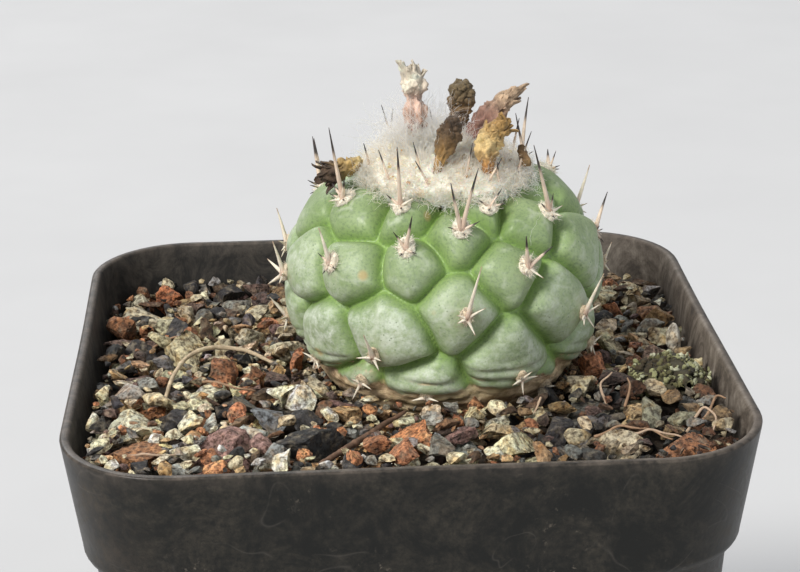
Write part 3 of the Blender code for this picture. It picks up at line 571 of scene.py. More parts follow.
def stem_radius(height):
    """Radius of the stem's envelope, neck and tap root at heights above the rim."""
    height = np.asarray(height, float)
    rise = height - STEM_WAIST
    dome = STEM_RADIUS * (1 - np.clip(rise / STEM_DOME, 0, 1) ** DOME_POWER) ** (1 / DOME_POWER)
    bowl = STEM_RADIUS * np.sqrt(np.clip(1 - (rise / STEM_BOWL) ** 2, 0, 1))
    collar = STEM_RADIUS * math.sqrt(1 - ((COLLAR_LOW - STEM_WAIST) / STEM_BOWL) ** 2)
    neck = collar + (NECK_RADIUS - collar) * (COLLAR_LOW - height) / (COLLAR_LOW - NECK_LOW)
    share = np.clip((NECK_LOW - height) / (NECK_LOW - ROOT_LOW), 0, 1)
    root = NECK_RADIUS + (ROOT_RADIUS - NECK_RADIUS) * share ** 0.7
    low = np.where(height >= NECK_LOW, neck, root)
    return np.where(rise >= 0, dome, np.where(height >= COLLAR_LOW, bowl, low))


def crown_height(radius):
    share = np.clip(np.asarray(radius, float) / STEM_RADIUS, 0, 1)
    return STEM_WAIST + STEM_DOME * (1 - share ** DOME_POWER) ** (1 / DOME_POWER)


def around(azimuth, radius, height):
    """Points at azimuths and distances about the stem's axis, at heights above the rim."""
    azimuth, radius, height = np.broadcast_arrays(azimuth, radius, height)
    return np.stack([STEM_X + radius * np.sin(azimuth), -radius * np.cos(azimuth),
                     RIM + height], -1)


def areole_places():
    """Every areole: azimuth, height, its tubercle's azimuth and height, spines, level."""
    places = []
    for degrees, level, cell_degrees, cell_level, lean, spines in FRONT_AREOLES:
        leaning = [(clock, length, lean) for clock, length in spines]
        places.append((math.radians(degrees), stem_height(level), math.radians(cell_degrees),
                       stem_height(cell_level), leaning, level))
    rng = random.Random(BACK_SPINE_SEED)
    for degrees, levels in BACK_RIBS:
        azimuth = math.radians(degrees)
        for level in levels:
            longest = BACK_SPINE_LENGTH + BACK_SPINE_GROWTH * level + rng.uniform(-0.4, 0.4)
            spines = [(rng.uniform(-12, 12), longest, SPINE_LEAN),
                      (rng.uniform(-75, -45), rng.uniform(1.6, 2.2), SPINE_LEAN),
                      (rng.uniform(50, 80), rng.uniform(1.6, 2.4), SPINE_LEAN),
                      (rng.uniform(140, 180), rng.uniform(1.6, 1.9), SPINE_LEAN)]
            cell_level = level + CELL_RISE - CELL_RISE_SLOPE * level
            places.append((azimuth, stem_height(level), azimuth, stem_height(cell_level),
                           spines, level))
    return places


AREOLES = areole_places()
SEATS = around(np.array([a[0] for a in AREOLES]), stem_radius([a[1] for a in AREOLES]),
               np.array([a[1] for a in AREOLES]))
CELLS = np.concatenate([
    around(np.array([a[2] for a in AREOLES]), stem_radius([a[3] for a in AREOLES]),
           np.array([a[3] for a in AREOLES])),
    around(2 * np.pi * np.arange(CROWN_CELLS) / CROWN_CELLS, CROWN_CELL_RADIUS,
           float(crown_height(CROWN_CELL_RADIUS)))])


def groove_distance(points):
    """Distance from each point to the nearest groove between two tubercles."""
    bent = points + 0.35 * np.stack([value_noise(points, 3.2, seed) for seed in (1, 2, 3)], -1)
    between = np.linalg.norm(CELLS[:, None] - CELLS[None], axis=-1)
    made = np.empty(len(points))
    for start in range(0, len(points), POINTS_AT_ONCE):
        part = bent[start:start + POINTS_AT_ONCE]
        squares = ((part[:, None] - CELLS[None]) ** 2).sum(-1)
        own = squares.argmin(1)
        rows = np.arange(len(part))
        apart = between[own]
        apart[rows, own] = 1
        edge = (squares - squares[rows, own][:, None]) / (2 * apart)
        weight = np.exp(-edge / GROOVE_SOFTNESS)
        weight[rows, own] = 0
        made[start:start + POINTS_AT_ONCE] = -GROOVE_SOFTNESS * np.log(weight.sum(1) + 1e-30)
    return made


def stem_surface(azimuth, height, radius, normal_r, normal_z):
    """The skin's points and normals, and its cushion, cork, frost and halo shares, the frost raised
    on the left side as painted light.
    """
    flat = around(azimuth, radius, height)
    edge = groove_distance(flat)
    cushion = 1 - (1 - np.clip(edge / GROOVE_WIDTH, 0, 1)) ** GROOVE_POWER
    near = ((flat[:, None] - SEATS[None]) ** 2).sum(-1).min(1)
    depth = GROOVE_DEPTH * (1 - cushion) ** 1.15 + 0.4 * np.exp(-(edge / 0.6) ** 2)
    depth -= KNOB_HEIGHT * np.exp(-near / (2 * KNOB_SPREAD ** 2))
    depth += 0.13 * value_noise(flat, 4.5, 5) + 0.03 * value_noise(flat, 1.2, 6)
    lined = smooth_step(4, 0, height) * smooth_step(0.1, 0.6, cushion)
    lines = np.sin(4.2 * height + 3 * value_noise(flat, 5, 7))
    crease = np.exp(-((lines - 0.9) / 0.12) ** 2)
    depth += lined * (0.12 * lines + 0.20 * crease)
    fade = smooth_step(-3.0, 1.6, height)
    cork = smooth_step(0.3, -1.9, height + 1.1 * value_noise(flat, 3, 8))
    ridges = 0.5 * np.sin(5.5 * height + 4 * value_noise(flat, 4, 9))
    ridges = ridges + layered_noise(flat, 1.0, 10, 4)
    depth = depth * fade + cork * (0.22 + 0.15 * ridges) * smooth_step(-7, -4.5, height)
    cork = np.maximum(cork, 0.62 * crease * smooth_step(2.2, 0.2, height))
    normal = np.stack([normal_r * np.sin(azimuth), -normal_r * np.cos(azimuth), normal_z], -1)
    bloom_and_painted_light = smooth_step(17, 5, height + 1.5 * value_noise(flat, 5, 12))
    bloom_and_painted_light = bloom_and_painted_light * smooth_step(0.1, 0.85, cushion) * (0.75 + 0.25 * value_noise(flat, 2.2, 13))
    # Painted light: the frost is made stronger on the left side, where the lamp falls, so that side
    # comes out paler.
    bloom_and_painted_light = bloom_and_painted_light * (0.88 + 0.6 * np.clip(-np.sin(azimuth), 0, 1))
    halo = np.exp(-near / 2.6) * smooth_step(15, 8, height)
    return flat - normal * depth[:, None], normal, cushion, cork, np.clip(bloom_and_painted_light, 0, 1), halo


def stem_profile(count):
    """Radii, heights and normals evenly along the dome and bowl, pole to collar."""
    turn = np.radians(90) * np.arange(400) / 400
    dome = np.stack([STEM_RADIUS * np.sin(turn), crown_height(STEM_RADIUS * np.sin(turn))], -1)
    low = STEM_WAIST + (COLLAR_LOW - STEM_WAIST) * np.arange(401) / 400
    fine = np.concatenate([dome, np.stack([stem_radius(low), low], -1)])
    length = np.concatenate([[0], np.cumsum(np.linalg.norm(np.diff(fine, axis=0), axis=1))])
    at = np.linspace(0, length[-1], count + 1)
    return np.stack([np.interp(at, length, fine[:, i]) for i in (0, 1)], -1)


def make_stem(paint):
    upper = stem_profile(STEM_ROWS)
    share = np.arange(1, ROOT_ROWS + 1) / ROOT_ROWS
    below = COLLAR_LOW + (ROOT_LOW - COLLAR_LOW) * share ** 1.3
    profile = np.concatenate([upper[1:], np.stack([stem_radius(below), below], -1)])
    slope = np.gradient(profile, axis=0)
    normals = unit(np.stack([-slope[:, 1], slope[:, 0]], -1))
    azimuth = np.tile(2 * np.pi * np.arange(STEM_COLUMNS) / STEM_COLUMNS, len(profile))
    radius, height, normal_r, normal_z = np.repeat(np.concatenate([profile, normals], 1),
                                                   STEM_COLUMNS, axis=0).T
    points, _, cushion, cork, bloom_and_painted_light, halo = stem_surface(azimuth, height, radius,
                                                         normal_r, normal_z)
    top = around(0.0, 0.0, upper[0, 1] - GROOVE_DEPTH * 0.6)
    tip = around(0.0, 0.0, ROOT_LOW - ROOT_RADIUS)
    verts, faces = capped(points.reshape(-1, STEM_COLUMNS, 3), top, tip)
    attributes = {key: np.append(values, [values[0], at_tip]) for key, values, at_tip in
                  (("cushion", cushion, 1), ("cork", cork, 1), ("bloom_and_painted_light", bloom_and_painted_light, 0),
                   ("halo", halo, 0))}
    build("stem_skin", verts, faces, paint, attributes,
          replaces=("cactus_stem",))


# ---------------------------------------------------------------- areoles

def compass(azimuth):
    """The level directions away from the stem's axis and to its right, at an azimuth."""
    return (np.array([math.sin(azimuth), -math.cos(azimuth), 0]),
            np.array([math.cos(azimuth), math.sin(azimuth), 0]))


def spine_direction(azimuth, clock, lean_degrees, normal):
    """A spine's direction: a clock angle seen from outside, leaning outward, off the skin."""
    outward, sideways = compass(azimuth)
    turn, lean = math.radians(clock), math.radians(lean_degrees)
    across = sideways * math.sin(turn) + np.array([0, 0, 1]) * math.cos(turn)
    direction = across * math.cos(lean) + outward * math.sin(lean)
    rise = direction @ normal
    if rise < 0.35:
        direction = unit(direction + normal * (0.35 - rise))
    return direction


def extra_spines(spines, rng):
    """A few short thin spines in the gaps of a tuft."""
    taken = [clock for clock, _, _ in spines]
    made = []
    for _ in range(12):
        clock = rng.uniform(-180, 180)
        if len(made) < 2 and min(abs((clock - t + 180) % 360 - 180) for t in taken) > 45:
            taken.append(clock)
            made.append((clock, rng.uniform(0.9, 1.5), 12))
    return made


def spine_colours(along, dark):
    """Tints from a spine's root to its tip: black-tipped above, ivory with tan tips below."""
    root = np.array([0.66, 0.45, 0.34])
    middle = np.array([0.74, 0.60, 0.47]) if dark else np.array([0.84, 0.76, 0.62])
    tip = np.array([0.03, 0.022, 0.02]) if dark else np.array([0.38, 0.25, 0.16])
    start, end = (0.56, 0.72) if dark else (0.80, 1.0)
    low = smooth_step(0.0, 0.3, along)[:, None]
    high = smooth_step(start, end, along)[:, None]
    return (root * (1 - low) + middle * low) * (1 - high) + tip * high


def spine_bundle(i, point, normal, side, up, rng):
    """The spines of one areole."""
    azimuth, _, _, _, spines, level = AREOLES[i]
    root = point + normal * 0.25
    t = np.linspace(0, 1, 14)
    parts = []
    for clock, length, lean in spines + extra_spines(spines, rng):
        direction = spine_direction(azimuth, clock, lean, normal)
        bend = up * rng.uniform(-0.05, 0.05) + side * rng.uniform(-0.06, 0.06) + normal * 0.03
        path = root + direction * length * t[:, None] + bend * length * (t ** 2)[:, None]
        thick = 0.27 if length > CENTRAL_SPINE_MM else rng.uniform(0.15, 0.2)
        radii = thick * (1 - 0.86 * t ** 1.3) + 0.09 * np.exp(-(t * length / 0.35) ** 2)
        verts, faces, along, _ = tubes(path[None], radii[None], SPINE_SIDES)
        dark = level > 30 and rng.random() < 0.85
        parts.append((verts, faces, {"tint": spine_colours(along, dark)}))
    return parts


def wool_pad(i, point, normal, side, up, nrng):
    """The felt of one areole: a lump, and short hairs over it."""
    young = smooth_step(-20, 60, np.array([float(AREOLES[i][5])]))[0]
    size = 0.8 + 0.35 * young
    middle = point + up * 0.25 * size
    ball_verts, ball_faces = BALLS[3]
    lump = ball_verts * (1 + 0.16 * layered_noise(ball_verts + i, 0.5, 31)[:, None])
    lump = lump * np.array([0.78, 1.02, 0.5]) * size
    placed = middle + lump[:, :1] * side + lump[:, 1:2] * up + lump[:, 2:] * normal
    cream = np.array([0.95, 0.86, 0.70]) * young + np.array([0.66, 0.53, 0.36]) * (1 - young)
    mottle = 1 + 0.12 * layered_noise(placed, 0.4, 33)[:, None]
    hairs = int(150 + 130 * young)
    angle = nrng.uniform(0, 2 * np.pi, hairs)
    reach = np.sqrt(nrng.uniform(0, 1, hairs))
    offset = ((np.cos(angle) * reach * 0.78)[:, None] * side
              + (np.sin(angle) * reach * 1.02)[:, None] * up)
    lift = normal * (0.42 * np.sqrt(1 - reach ** 2 * 0.95))[:, None] * size
    start = middle + offset * size + lift
    heading = unit(offset * 1.1 + normal * 0.6 + nrng.normal(0, 0.35, (hairs, 3)))
    length = nrng.uniform(0.12, 0.30, hairs) * size
    t = np.linspace(0, 1, 4)
    curl = nrng.normal(0, 0.7, (hairs, 3))
    path = (start[:, None] + heading[:, None] * (length[:, None] * t)[:, :, None]
            + curl[:, None] * (length[:, None] * t ** 2)[:, :, None])
    radii = np.full((hairs, 4), 0.034) * (1 - 0.6 * t)
    verts, faces, _, which = tubes(path, radii, HAIR_SIDES)
    shade = nrng.uniform(0.85, 1.12, (hairs, 1))
    return [(placed, ball_faces, {"tint": cream * mottle}),
            (verts, faces, {"tint": (np.clip(cream * shade * 1.08, 0, 0.97))[which]})]


def make_areoles(spine_paint, wool_paint):
    rng = random.Random(21)
    nrng = np.random.default_rng(22)
    azimuths = np.array([a[0] for a in AREOLES])
    heights = np.array([a[1] for a in AREOLES])
    step = 0.05
    fall = stem_radius(heights - step) - stem_radius(heights + step)
    normal_r, normal_z = unit(np.stack([np.full(len(heights), 2 * step), fall], -1)).T
    points, normals, *_ = stem_surface(azimuths, heights, stem_radius(heights),
                                       normal_r, normal_z)
    spikes, wool = [], []
    for i, azimuth in enumerate(azimuths):
        side = compass(azimuth)[1]
        up = np.cross(side, normals[i])
        up = up if up[2] > 0 else -up
        spikes += spine_bundle(i, points[i], normals[i], side, up, rng)
        wool += wool_pad(i, points[i], normals[i], side, up, nrng)
    names = [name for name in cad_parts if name.startswith("areole_")]
    verts, faces, attributes = joined(spikes)
    build("areole_spines", verts, faces, spine_paint, attributes, replaces=names)
    verts, faces, attributes = joined(wool)
    build("areole_wool", verts, faces, wool_paint, attributes)


# ---------------------------------------------------------------- crown wool

def wool_top(azimuth, radius):
    """Height above the rim of the crown wool's body."""
    points = around(azimuth, radius, 0)
    share = np.clip(radius / WOOL_RADIUS, 0, 1)
    lumps = 0.65 * value_noise(points, 2.6, 41) + 0.4 * value_noise(points, 1.0, 42)
    return crown_height(radius) + 0.25 + 1.7 * (1 - share ** 2) + lumps * (1 - share ** 3)


def reach_forward(azimuth):
    """How much further than round the wool reaches, most towards the front."""
    return 1 + 0.13 * np.clip(np.cos(azimuth), 0, 1)


def fleece_body():
    """The solid of the crown wool under its hairs."""
    turn = 2 * np.pi * np.arange(WOOL_COLUMNS) / WOOL_COLUMNS
    circle = np.stack([3 * np.sin(turn), 3 * np.cos(turn), turn * 0], -1)
    ragged = 1 + 0.13 * value_noise(circle, 1.0, 44)
    azimuth = np.tile(turn, WOOL_ROWS)
    rows = np.linspace(0.4, 8.6, WOOL_ROWS)[:, None]
    radius = (rows * (ragged * reach_forward(turn))[None]).reshape(-1)
    top = around(azimuth, radius, wool_top(azimuth, radius))
    back = radius[::-1].reshape(WOOL_ROWS, WOOL_COLUMNS)[:, ::-1].reshape(-1)
    under = around(azimuth, back, crown_height(back) - WOOL_UNDER)
    centre = np.zeros(1)
    peak = around(centre, centre, wool_top(centre, centre))[0]
    heart = around(centre, centre, crown_height(centre) - WOOL_UNDER)[0]
    verts, faces = capped(np.concatenate([top, under]).reshape(-1, WOOL_COLUMNS, 3), peak, heart)
    cream = np.array([0.98, 0.93, 0.80])
    yellow = np.array([0.76, 0.58, 0.32])
    stain = smooth_step(0.05, 0.6, layered_noise(verts, 1.3, 45))[:, None] * 0.6
    return verts, faces, {"tint": cream * (1 - stain) + yellow * stain}


def fleece_hairs(nrng):
    """Short curled hairs over the wool, longest about the tall flower."""
    azimuth = nrng.uniform(0, 2 * np.pi, CROWN_HAIRS)
    radius = 9.3 * nrng.uniform(0, 1, CROWN_HAIRS) ** 0.5 * reach_forward(azimuth)
    start = around(azimuth, radius, wool_top(azimuth, radius) - 0.25)
    out = unit(np.stack([np.sin(azimuth) * radius, -np.cos(azimuth) * radius, 9 + 0 * radius], -1))
    tall = np.exp(-((start[:, 0] - 2.6) ** 2 + (start[:, 1] - 0.5) ** 2) / 10)
    length = nrng.uniform(0.9, 2.4, CROWN_HAIRS)
    length = length * (1 + 1.1 * tall * nrng.uniform(0, 1, CROWN_HAIRS))
    spread = nrng.normal(0, 0.55, (CROWN_HAIRS, 3))
    heading = unit(out + spread + np.array([0, 0, 1.0]) * tall[:, None])
    flow = np.stack([value_noise(start, 1.5, seed) for seed in (46, 47, 48)], -1)
    path = strands(start, heading, length, HAIR_NODES, nrng, 0.42, 0.35 * flow)
    thick = nrng.uniform(0.024, 0.040, CROWN_HAIRS)[:, None]
    radii = thick * (1 - 0.55 * np.linspace(0, 1, HAIR_NODES))
    verts, faces, _, which = tubes(path, radii, HAIR_SIDES)
    pale = np.array([0.99, 0.93, 0.78]) * nrng.uniform(0.92, 1.02, (CROWN_HAIRS, 1))
    aged = nrng.uniform(0, 1, CROWN_HAIRS) < 0.12 + 0.22 * smooth_step(5, 9, radius)
    tints = np.where(aged[:, None], np.array([0.90, 0.76, 0.50]), pale)
    return verts, faces, np.clip(tints, 0, 0.98)[which]


def fleece_crumbs(nrng):
    """Brown crumbs caught in the wool."""
    crumb, crumb_faces = BALLS[1]
    browns = np.array([(0.60, 0.42, 0.20), (0.34, 0.20, 0.10), (0.78, 0.62, 0.38)])
    parts = []
    for k in range(CRUMBS):
        turn, out_by = nrng.uniform(0, 2 * np.pi, 1), 8.8 * nrng.uniform(0, 1, 1) ** 0.6
        spot = around(turn, out_by, wool_top(turn, out_by) + nrng.uniform(0.1, 0.7, 1))
        sizes = nrng.uniform(0.08, 0.3, 3)
        chip = turned(crumb * sizes, nrng.uniform(0, 6), nrng.normal(), nrng.normal()) + spot
        parts.append((chip, crumb_faces, {"tint": np.tile(browns[k % 3], (len(chip), 1))}))
    return parts


def make_wool(paint, spine_paint):
    nrng = np.random.default_rng(43)
    hair_verts, hair_faces, hair_tints = fleece_hairs(nrng)
    verts, faces, attributes = joined([fleece_body()] + fleece_crumbs(nrng))
    build("crown_fleece", verts, faces, paint, attributes,
          replaces=("crown_wool",))
    make_wisps(nrng, paint)
    half = (CROWN_HAIRS // 2) * HAIR_NODES * HAIR_SIDES
    low = (hair_faces < half).all(1)
    for name, first, last, chosen in (("crown_hair_a", 0, half, low),
                                      ("crown_hair_b", half, len(hair_verts), ~low)):
        build(name, hair_verts[first:last], hair_faces[chosen] - first, paint,
              {"tint": hair_tints[first:last]})
    make_crown_spines(spine_paint)


def make_wisps(nrng, paint):
    """Long loose hairs standing up round the tall flower and between the others."""
    tall = FLOWERS["dried_flower_tall"][0]
    middle = np.array([STEM_X + STEM_RADIUS * tall[0] / 100, STEM_RADIUS * tall[1] / 100])
    near = nrng.uniform(0, 1, WISPS) < 0.6
    spot = np.where(near[:, None], middle + nrng.normal(0, 1.7, (WISPS, 2)),
                    np.array([STEM_X, 0]) + nrng.normal(0, 3.6, (WISPS, 2)))
    away = np.hypot(spot[:, 0] - STEM_X, spot[:, 1])
    start = np.stack([spot[:, 0], spot[:, 1], RIM + crown_height(away) + 0.5], -1)
    heading = unit(np.stack([nrng.normal(-0.1, 0.35, WISPS), nrng.normal(0, 0.35, WISPS),
                             np.ones(WISPS)], -1))
    length = np.where(near, nrng.uniform(2.5, 8.0, WISPS), nrng.uniform(1.5, 4.0, WISPS))
    path = strands(start, heading, length, WISP_NODES, nrng, 0.30)
    thick = nrng.uniform(0.014, 0.022, WISPS)[:, None]
    radii = thick * (1 - 0.5 * np.linspace(0, 1, WISP_NODES))
    verts, faces, _, which = tubes(path, radii, HAIR_SIDES)
    tints = np.array([1.0, 0.97, 0.90]) * nrng.uniform(0.9, 1.0, (WISPS, 1))
    build("crown_wisps", verts, faces, paint,
          {"tint": np.clip(tints, 0, 0.98)[which]})


# Young spines that show only their upper ends above the wool: azimuth in degrees, distance
# from the stem's axis and length in mm, then a clock angle.
CROWN_SPINES = (
    (-24, 6.6, 4.2, -8), (-14, 8.2, 3.4, -25), (14, 7.2, 4.4, 6), (30, 8.2, 3.0, 25),
    (38, 8.6, 2.8, -20), (64, 8.4, 4.6, 14), (-48, 8.2, 3.6, -10), (-80, 8.0, 3.4, 15),
    (110, 8.2, 4.0, 5), (150, 8.4, 4.6, -8), (-140, 7.6, 5.0, 8), (-165, 8.4, 4.2, -12),
    (180, 8.0, 4.0, 12),
)


def make_crown_spines(paint):
    parts = []
    for degrees, radius, length, clock in CROWN_SPINES:
        azimuth = math.radians(degrees)
        root = around(azimuth, radius, float(crown_height(radius)) + 0.4)
        outward, sideways = compass(azimuth)
        tilt = math.radians(clock)
        direction = unit(np.array([0, 0, 1.0]) * math.cos(tilt) + sideways * math.sin(tilt)
                         + outward * 0.2)
        t = np.linspace(0, 1, 12)
        path = root + direction * length * t[:, None] + outward * (0.05 * length * t ** 2)[:, None]
        radii = 0.17 * (1 - 0.8 * t ** 1.4)
        verts, faces, along, _ = tubes(path[None], radii[None], SPINE_SIDES)
        parts.append((verts, faces, {"tint": spine_colours(along, True)}))
    verts, faces, attributes = joined(parts)
    build("crown_spines", verts, faces, paint, attributes)


# ---------------------------------------------------------------- dried flowers

# Stations as in the CAD part: percent of the stem's radius right of and behind its axis,
# mm above the dome's top, radius in mm.
FLOWERS = {
    "dried_flower_tall": ((-15, 6, 0.9, 0.9), (-16, 6, 2.7, 1.2), (-17, 9, 4.9, 1.4),
                          (-17, 12, 6.3, 0.9), (-17, 12, 7.3, 1.5), (-19, 12, 8.7, 1.0),
                          (-20, 12, 9.6, 0.3)),
    "dried_flower_knob": ((8, 15, 0.9, 0.5), (11, 17, 2.5, 0.7), (12, 18, 4.1, 1.3),
                          (13, 18, 5.7, 1.5), (13, 18, 6.9, 1.2), (13, 18, 7.5, 0.4)),
    "dried_flower_tube": ((17, 2, 0.9, 0.7), (20, 3, 2.0, 1.1), (25, 6, 3.3, 1.5),
                          (34, 8, 4.8, 1.3), (42, 10, 6.1, 0.8), (47, 12, 6.8, 0.5)),
    "dried_flower_gold": ((23, -36, -0.1, 0.5), (24, -34, 1.1, 0.8), (24, -32, 2.3, 1.4),
                          (27, -29, 3.5, 1.4), (33, -28, 4.7, 0.9), (35, -27, 5.5, 0.4)),
    "dried_flower_dark": ((-8, -40, -0.1, 0.4), (-5, -37, 1.5, 0.6), (-1, -32, 2.9, 1.2),
                          (2, -30, 4.1, 1.3), (4, -29, 5.2, 0.7), (5, -29, 5.7, 0.3)),
    "dried_flower_fallen": ((-51, -8, 0.6, 0.4), (-54, -9, 0.3, 0.7), (-58, -11, 0.0, 0.9),
                            (-63, -13, -0.3, 1.0), (-69, -15, -0.6, 1.0), (-75, -17, -0.7, 0.4)),
    "dried_flower_stub": ((49, -20, -0.1, 0.4), (49, -20, 0.4, 0.6), (47, -18, 1.3, 0.5),
                          (46, -18, 1.9, 0.3)),
}
# The look of each: tints low, middle and high, then ribs, crumple, petals, their length,
# width and flare in mm, and knobs on the head.
FLOWER_LOOKS = {
    "dried_flower_tall": (((0.74, 0.42, 0.28), (0.72, 0.52, 0.42), (0.88, 0.77, 0.61)),
                          (7, 0.30, 18, 2.7, 0.85, -0.9, 3)),
    "dried_flower_knob": (((0.26, 0.15, 0.07), (0.20, 0.12, 0.05), (0.155, 0.11, 0.05)),
                          (6, 0.3, 6, 1.0, 0.5, 0.3, 46)),
    "dried_flower_tube": (((0.34, 0.16, 0.12), (0.33, 0.175, 0.13), (0.60, 0.42, 0.27)),
                          (8, 0.3, 14, 2.8, 0.75, 0.3, 4)),
    "dried_flower_gold": (((0.50, 0.25, 0.08), (0.84, 0.62, 0.28), (0.50, 0.30, 0.10)),
                          (6, 0.4, 20, 1.8, 0.75, 0.9, 8)),
    "dried_flower_dark": (((0.46, 0.27, 0.08), (0.15, 0.085, 0.03), (0.08, 0.045, 0.02)),
                          (6, 0.25, 6, 1.2, 0.5, 0.3, 40)),
    "dried_flower_fallen": (((0.66, 0.50, 0.22), (0.55, 0.37, 0.13), (0.08, 0.045, 0.022)),
                            (6, 0.38, 16, 2.4, 0.7, 1.2, 20)),
    "dried_flower_stub": (((0.40, 0.25, 0.10), (0.32, 0.19, 0.08), (0.20, 0.12, 0.05)),
                          (5, 0.25, 5, 0.9, 0.4, 0.2, 2)),
}


def petal(base, axis, radial, length, width, flare, rng):
    """A shrivelled strip from base along axis, bending outward, cupped and crumpled."""
    rows, columns = 12, 6
    across = np.cross(axis, radial)
    u = np.linspace(0, 1, rows)[:, None]
    v = np.linspace(-1, 1, columns)[None]
    profile = np.sin(np.pi * (0.12 + 0.8 * u)) ** 0.8
    fold = rng.uniform(1.5, 3.0)
    seed = rng.randrange(1000)
    outward = flare * u ** 2 - 0.35 * width * v ** 2 * profile + 0.12 * np.sin(fold * 3 * v)
    shape = (base + axis * (length * u)[..., None] * np.ones_like(v)[..., None]
             + radial * outward[..., None]
             + across * (width * profile * v * (1 - 0.35 * u))[..., None])
    flat = shape.reshape(-1, 3)
    lumps = np.stack([value_noise(flat, 0.55, seed + k) for k in range(3)], -1)
    lumps += np.stack([value_noise(flat, 1.3, seed + 5 + k) for k in range(3)], -1)
    flat = flat + 0.17 * lumps * (0.3 + u.repeat(columns, 1).reshape(-1, 1))
    verts, quads = sheet(flat.reshape(rows, columns, 3), 0.09)
    return verts, triangles(quads), np.concatenate([u.repeat(columns, 1).reshape(-1)] * 2)


def make_flower(name, paint):
    tints, (ribs, crumple, petals, length, width, flare, knobs) = FLOWER_LOOKS[name]
    rng = random.Random(name)
    seed = rng.randrange(500)
    rows = np.array(FLOWERS[name], float)
    centres = np.stack([STEM_X + STEM_RADIUS * rows[:, 0] / 100, STEM_RADIUS * rows[:, 1] / 100,
                        RIM + STEM_WAIST + STEM_DOME + rows[:, 2]], -1)
    line = smooth_path(np.concatenate([centres, rows[:, 3:]], 1), FLOWER_ROWS)
    path, radii = line[:, :3], np.maximum(line[:, 3], 0.15) * 0.86
    verts, faces, along, _ = tubes(path[None], radii[None], FLOWER_SIDES)
    middles = np.repeat(path, FLOWER_SIDES, axis=0)
    turn = np.tile(2 * np.pi * np.arange(FLOWER_SIDES) / FLOWER_SIDES, FLOWER_ROWS)
    rib = np.sin(ribs * turn + 5 * along + 1.5 * value_noise(middles, 1.2, seed))
    folds = 0.7 - 2.2 * np.abs(layered_noise(verts, 1.3, seed + 3, 4, 0.6))
    swell = 1 + 0.14 * rib + crumple * folds
    verts = middles + (verts - middles) * swell[:, None]
    last = FLOWER_ROWS - 1

    def colour(where, points):
        blotch = 1 + 0.25 * layered_noise(points, 0.6, seed + 9)[:, None]
        first = smooth_step(0.1, 0.5, where)[:, None]
        second = smooth_step(0.45, 0.8, where)[:, None]
        low, middle, high = (np.array(tint) for tint in tints)
        mixed = (low * (1 - first) + middle * first) * (1 - second) + high * second
        return np.clip(mixed * blotch, 0.01, 0.9)

    parts = [(verts, faces, {"tint": colour(along, verts)})]
    tangent = unit(np.gradient(path, axis=0))
    for k in range(petals):
        at = int(rng.uniform(0.42, 0.82) * last)
        aside = unit(np.cross(tangent[at], [math.cos(2.4 * k), math.sin(2.4 * k), 0.3]))
        base = path[at] + aside * radii[at] * 0.75
        room = min(1.0, (1.12 - at / last) * 2.2)
        strip, strip_faces, u = petal(base, tangent[at], aside,
                                      length * room * rng.uniform(0.7, 1.1),
                                      width * rng.uniform(0.7, 1.1),
                                      flare * rng.uniform(-0.6, 1.2), rng)
        parts.append((strip, strip_faces, {"tint": colour(at / last + 0.3 * u, strip)}))
    knob_verts, knob_faces = BALLS[2]
    for k in range(knobs):
        at = int(rng.uniform(0.55, 0.97) * last)
        aside = unit(np.cross(tangent[at], [math.cos(2.4 * k), math.sin(2.4 * k), 0.4]))
        size = rng.uniform(0.22, 0.46)
        lump = knob_verts * (1 + 0.35 * layered_noise(knob_verts * 2 + k, 0.8, seed)[:, None])
        lump = path[at] + aside * radii[at] * rng.uniform(0.8, 1.05) + lump * size
        parts.append((lump, knob_faces, {"tint": colour(np.full(len(lump), at / last), lump)}))
    verts, faces, attributes = joined(parts)
    build(name.replace("dried_", "withered_"), verts, faces, paint, attributes,
          replaces=(name,))


# ---------------------------------------------------------------- pot

def pot_half(z):
    """Half the pot's outer width at height z: the leaning wall, the step, then the band."""
    band_low = RIM - BAND_HEIGHT
    step_low = band_low - STEP_DROP
    band_half = POT_HALF - BAND_TAPER
    wall_top = band_half - STEP_IN
    if z >= band_low:
        return band_half + BAND_TAPER * (z - band_low) / BAND_HEIGHT
    if z >= step_low:
        return wall_top + STEP_IN * math.sin(math.radians(90) * (z - step_low) / STEP_DROP)
    return POT_BASE_HALF + (wall_top - POT_BASE_HALF) * z / step_low


def pot_corner(z):
    return POT_BASE_CORNER + (POT_CORNER - POT_BASE_CORNER) * z / RIM


def square_ring(half, corner, z, bow=0.0):
    """A round-cornered square outline, its straight sides pulled in a little by bow."""
    points = []
    middle = half - corner
    for quarter in range(4):
        start = math.radians(90 * quarter)
        c, s = math.cos(start), math.sin(start)
        for step in range(15):
            angle = math.radians(90) * step / 14
            x, y = middle + corner * math.cos(angle), middle + corner * math.sin(angle)
            points.append((x * c - y * s, x * s + y * c, z))
        for step in range(1, 18):
            x = middle - 2 * middle * step / 18
            dent = bow * (1 - (x / max(middle, 0.1)) ** 2)
            dent *= 1 + 0.4 * math.sin(3 * x / middle + quarter)
            points.append((x * c - (half - dent) * s, x * s + (half - dent) * c, z))
    return points


def outline_distance(points, half, corner):
    """How far points lie outside a round-cornered square."""
    over = np.abs(points[:, :2]) - (half - corner)[:, None]
    outside = np.linalg.norm(np.maximum(over, 0), axis=1)
    return outside + np.minimum(over.max(1), 0) - corner


def wall_bow(z):
    """How far the middle of the pot's sides is pulled in at height z."""
    z = np.array(z)
    return float(WALL_BOW * smooth_step(10, 60, z) * (1 - 0.5 * smooth_step(68, 80, z)))


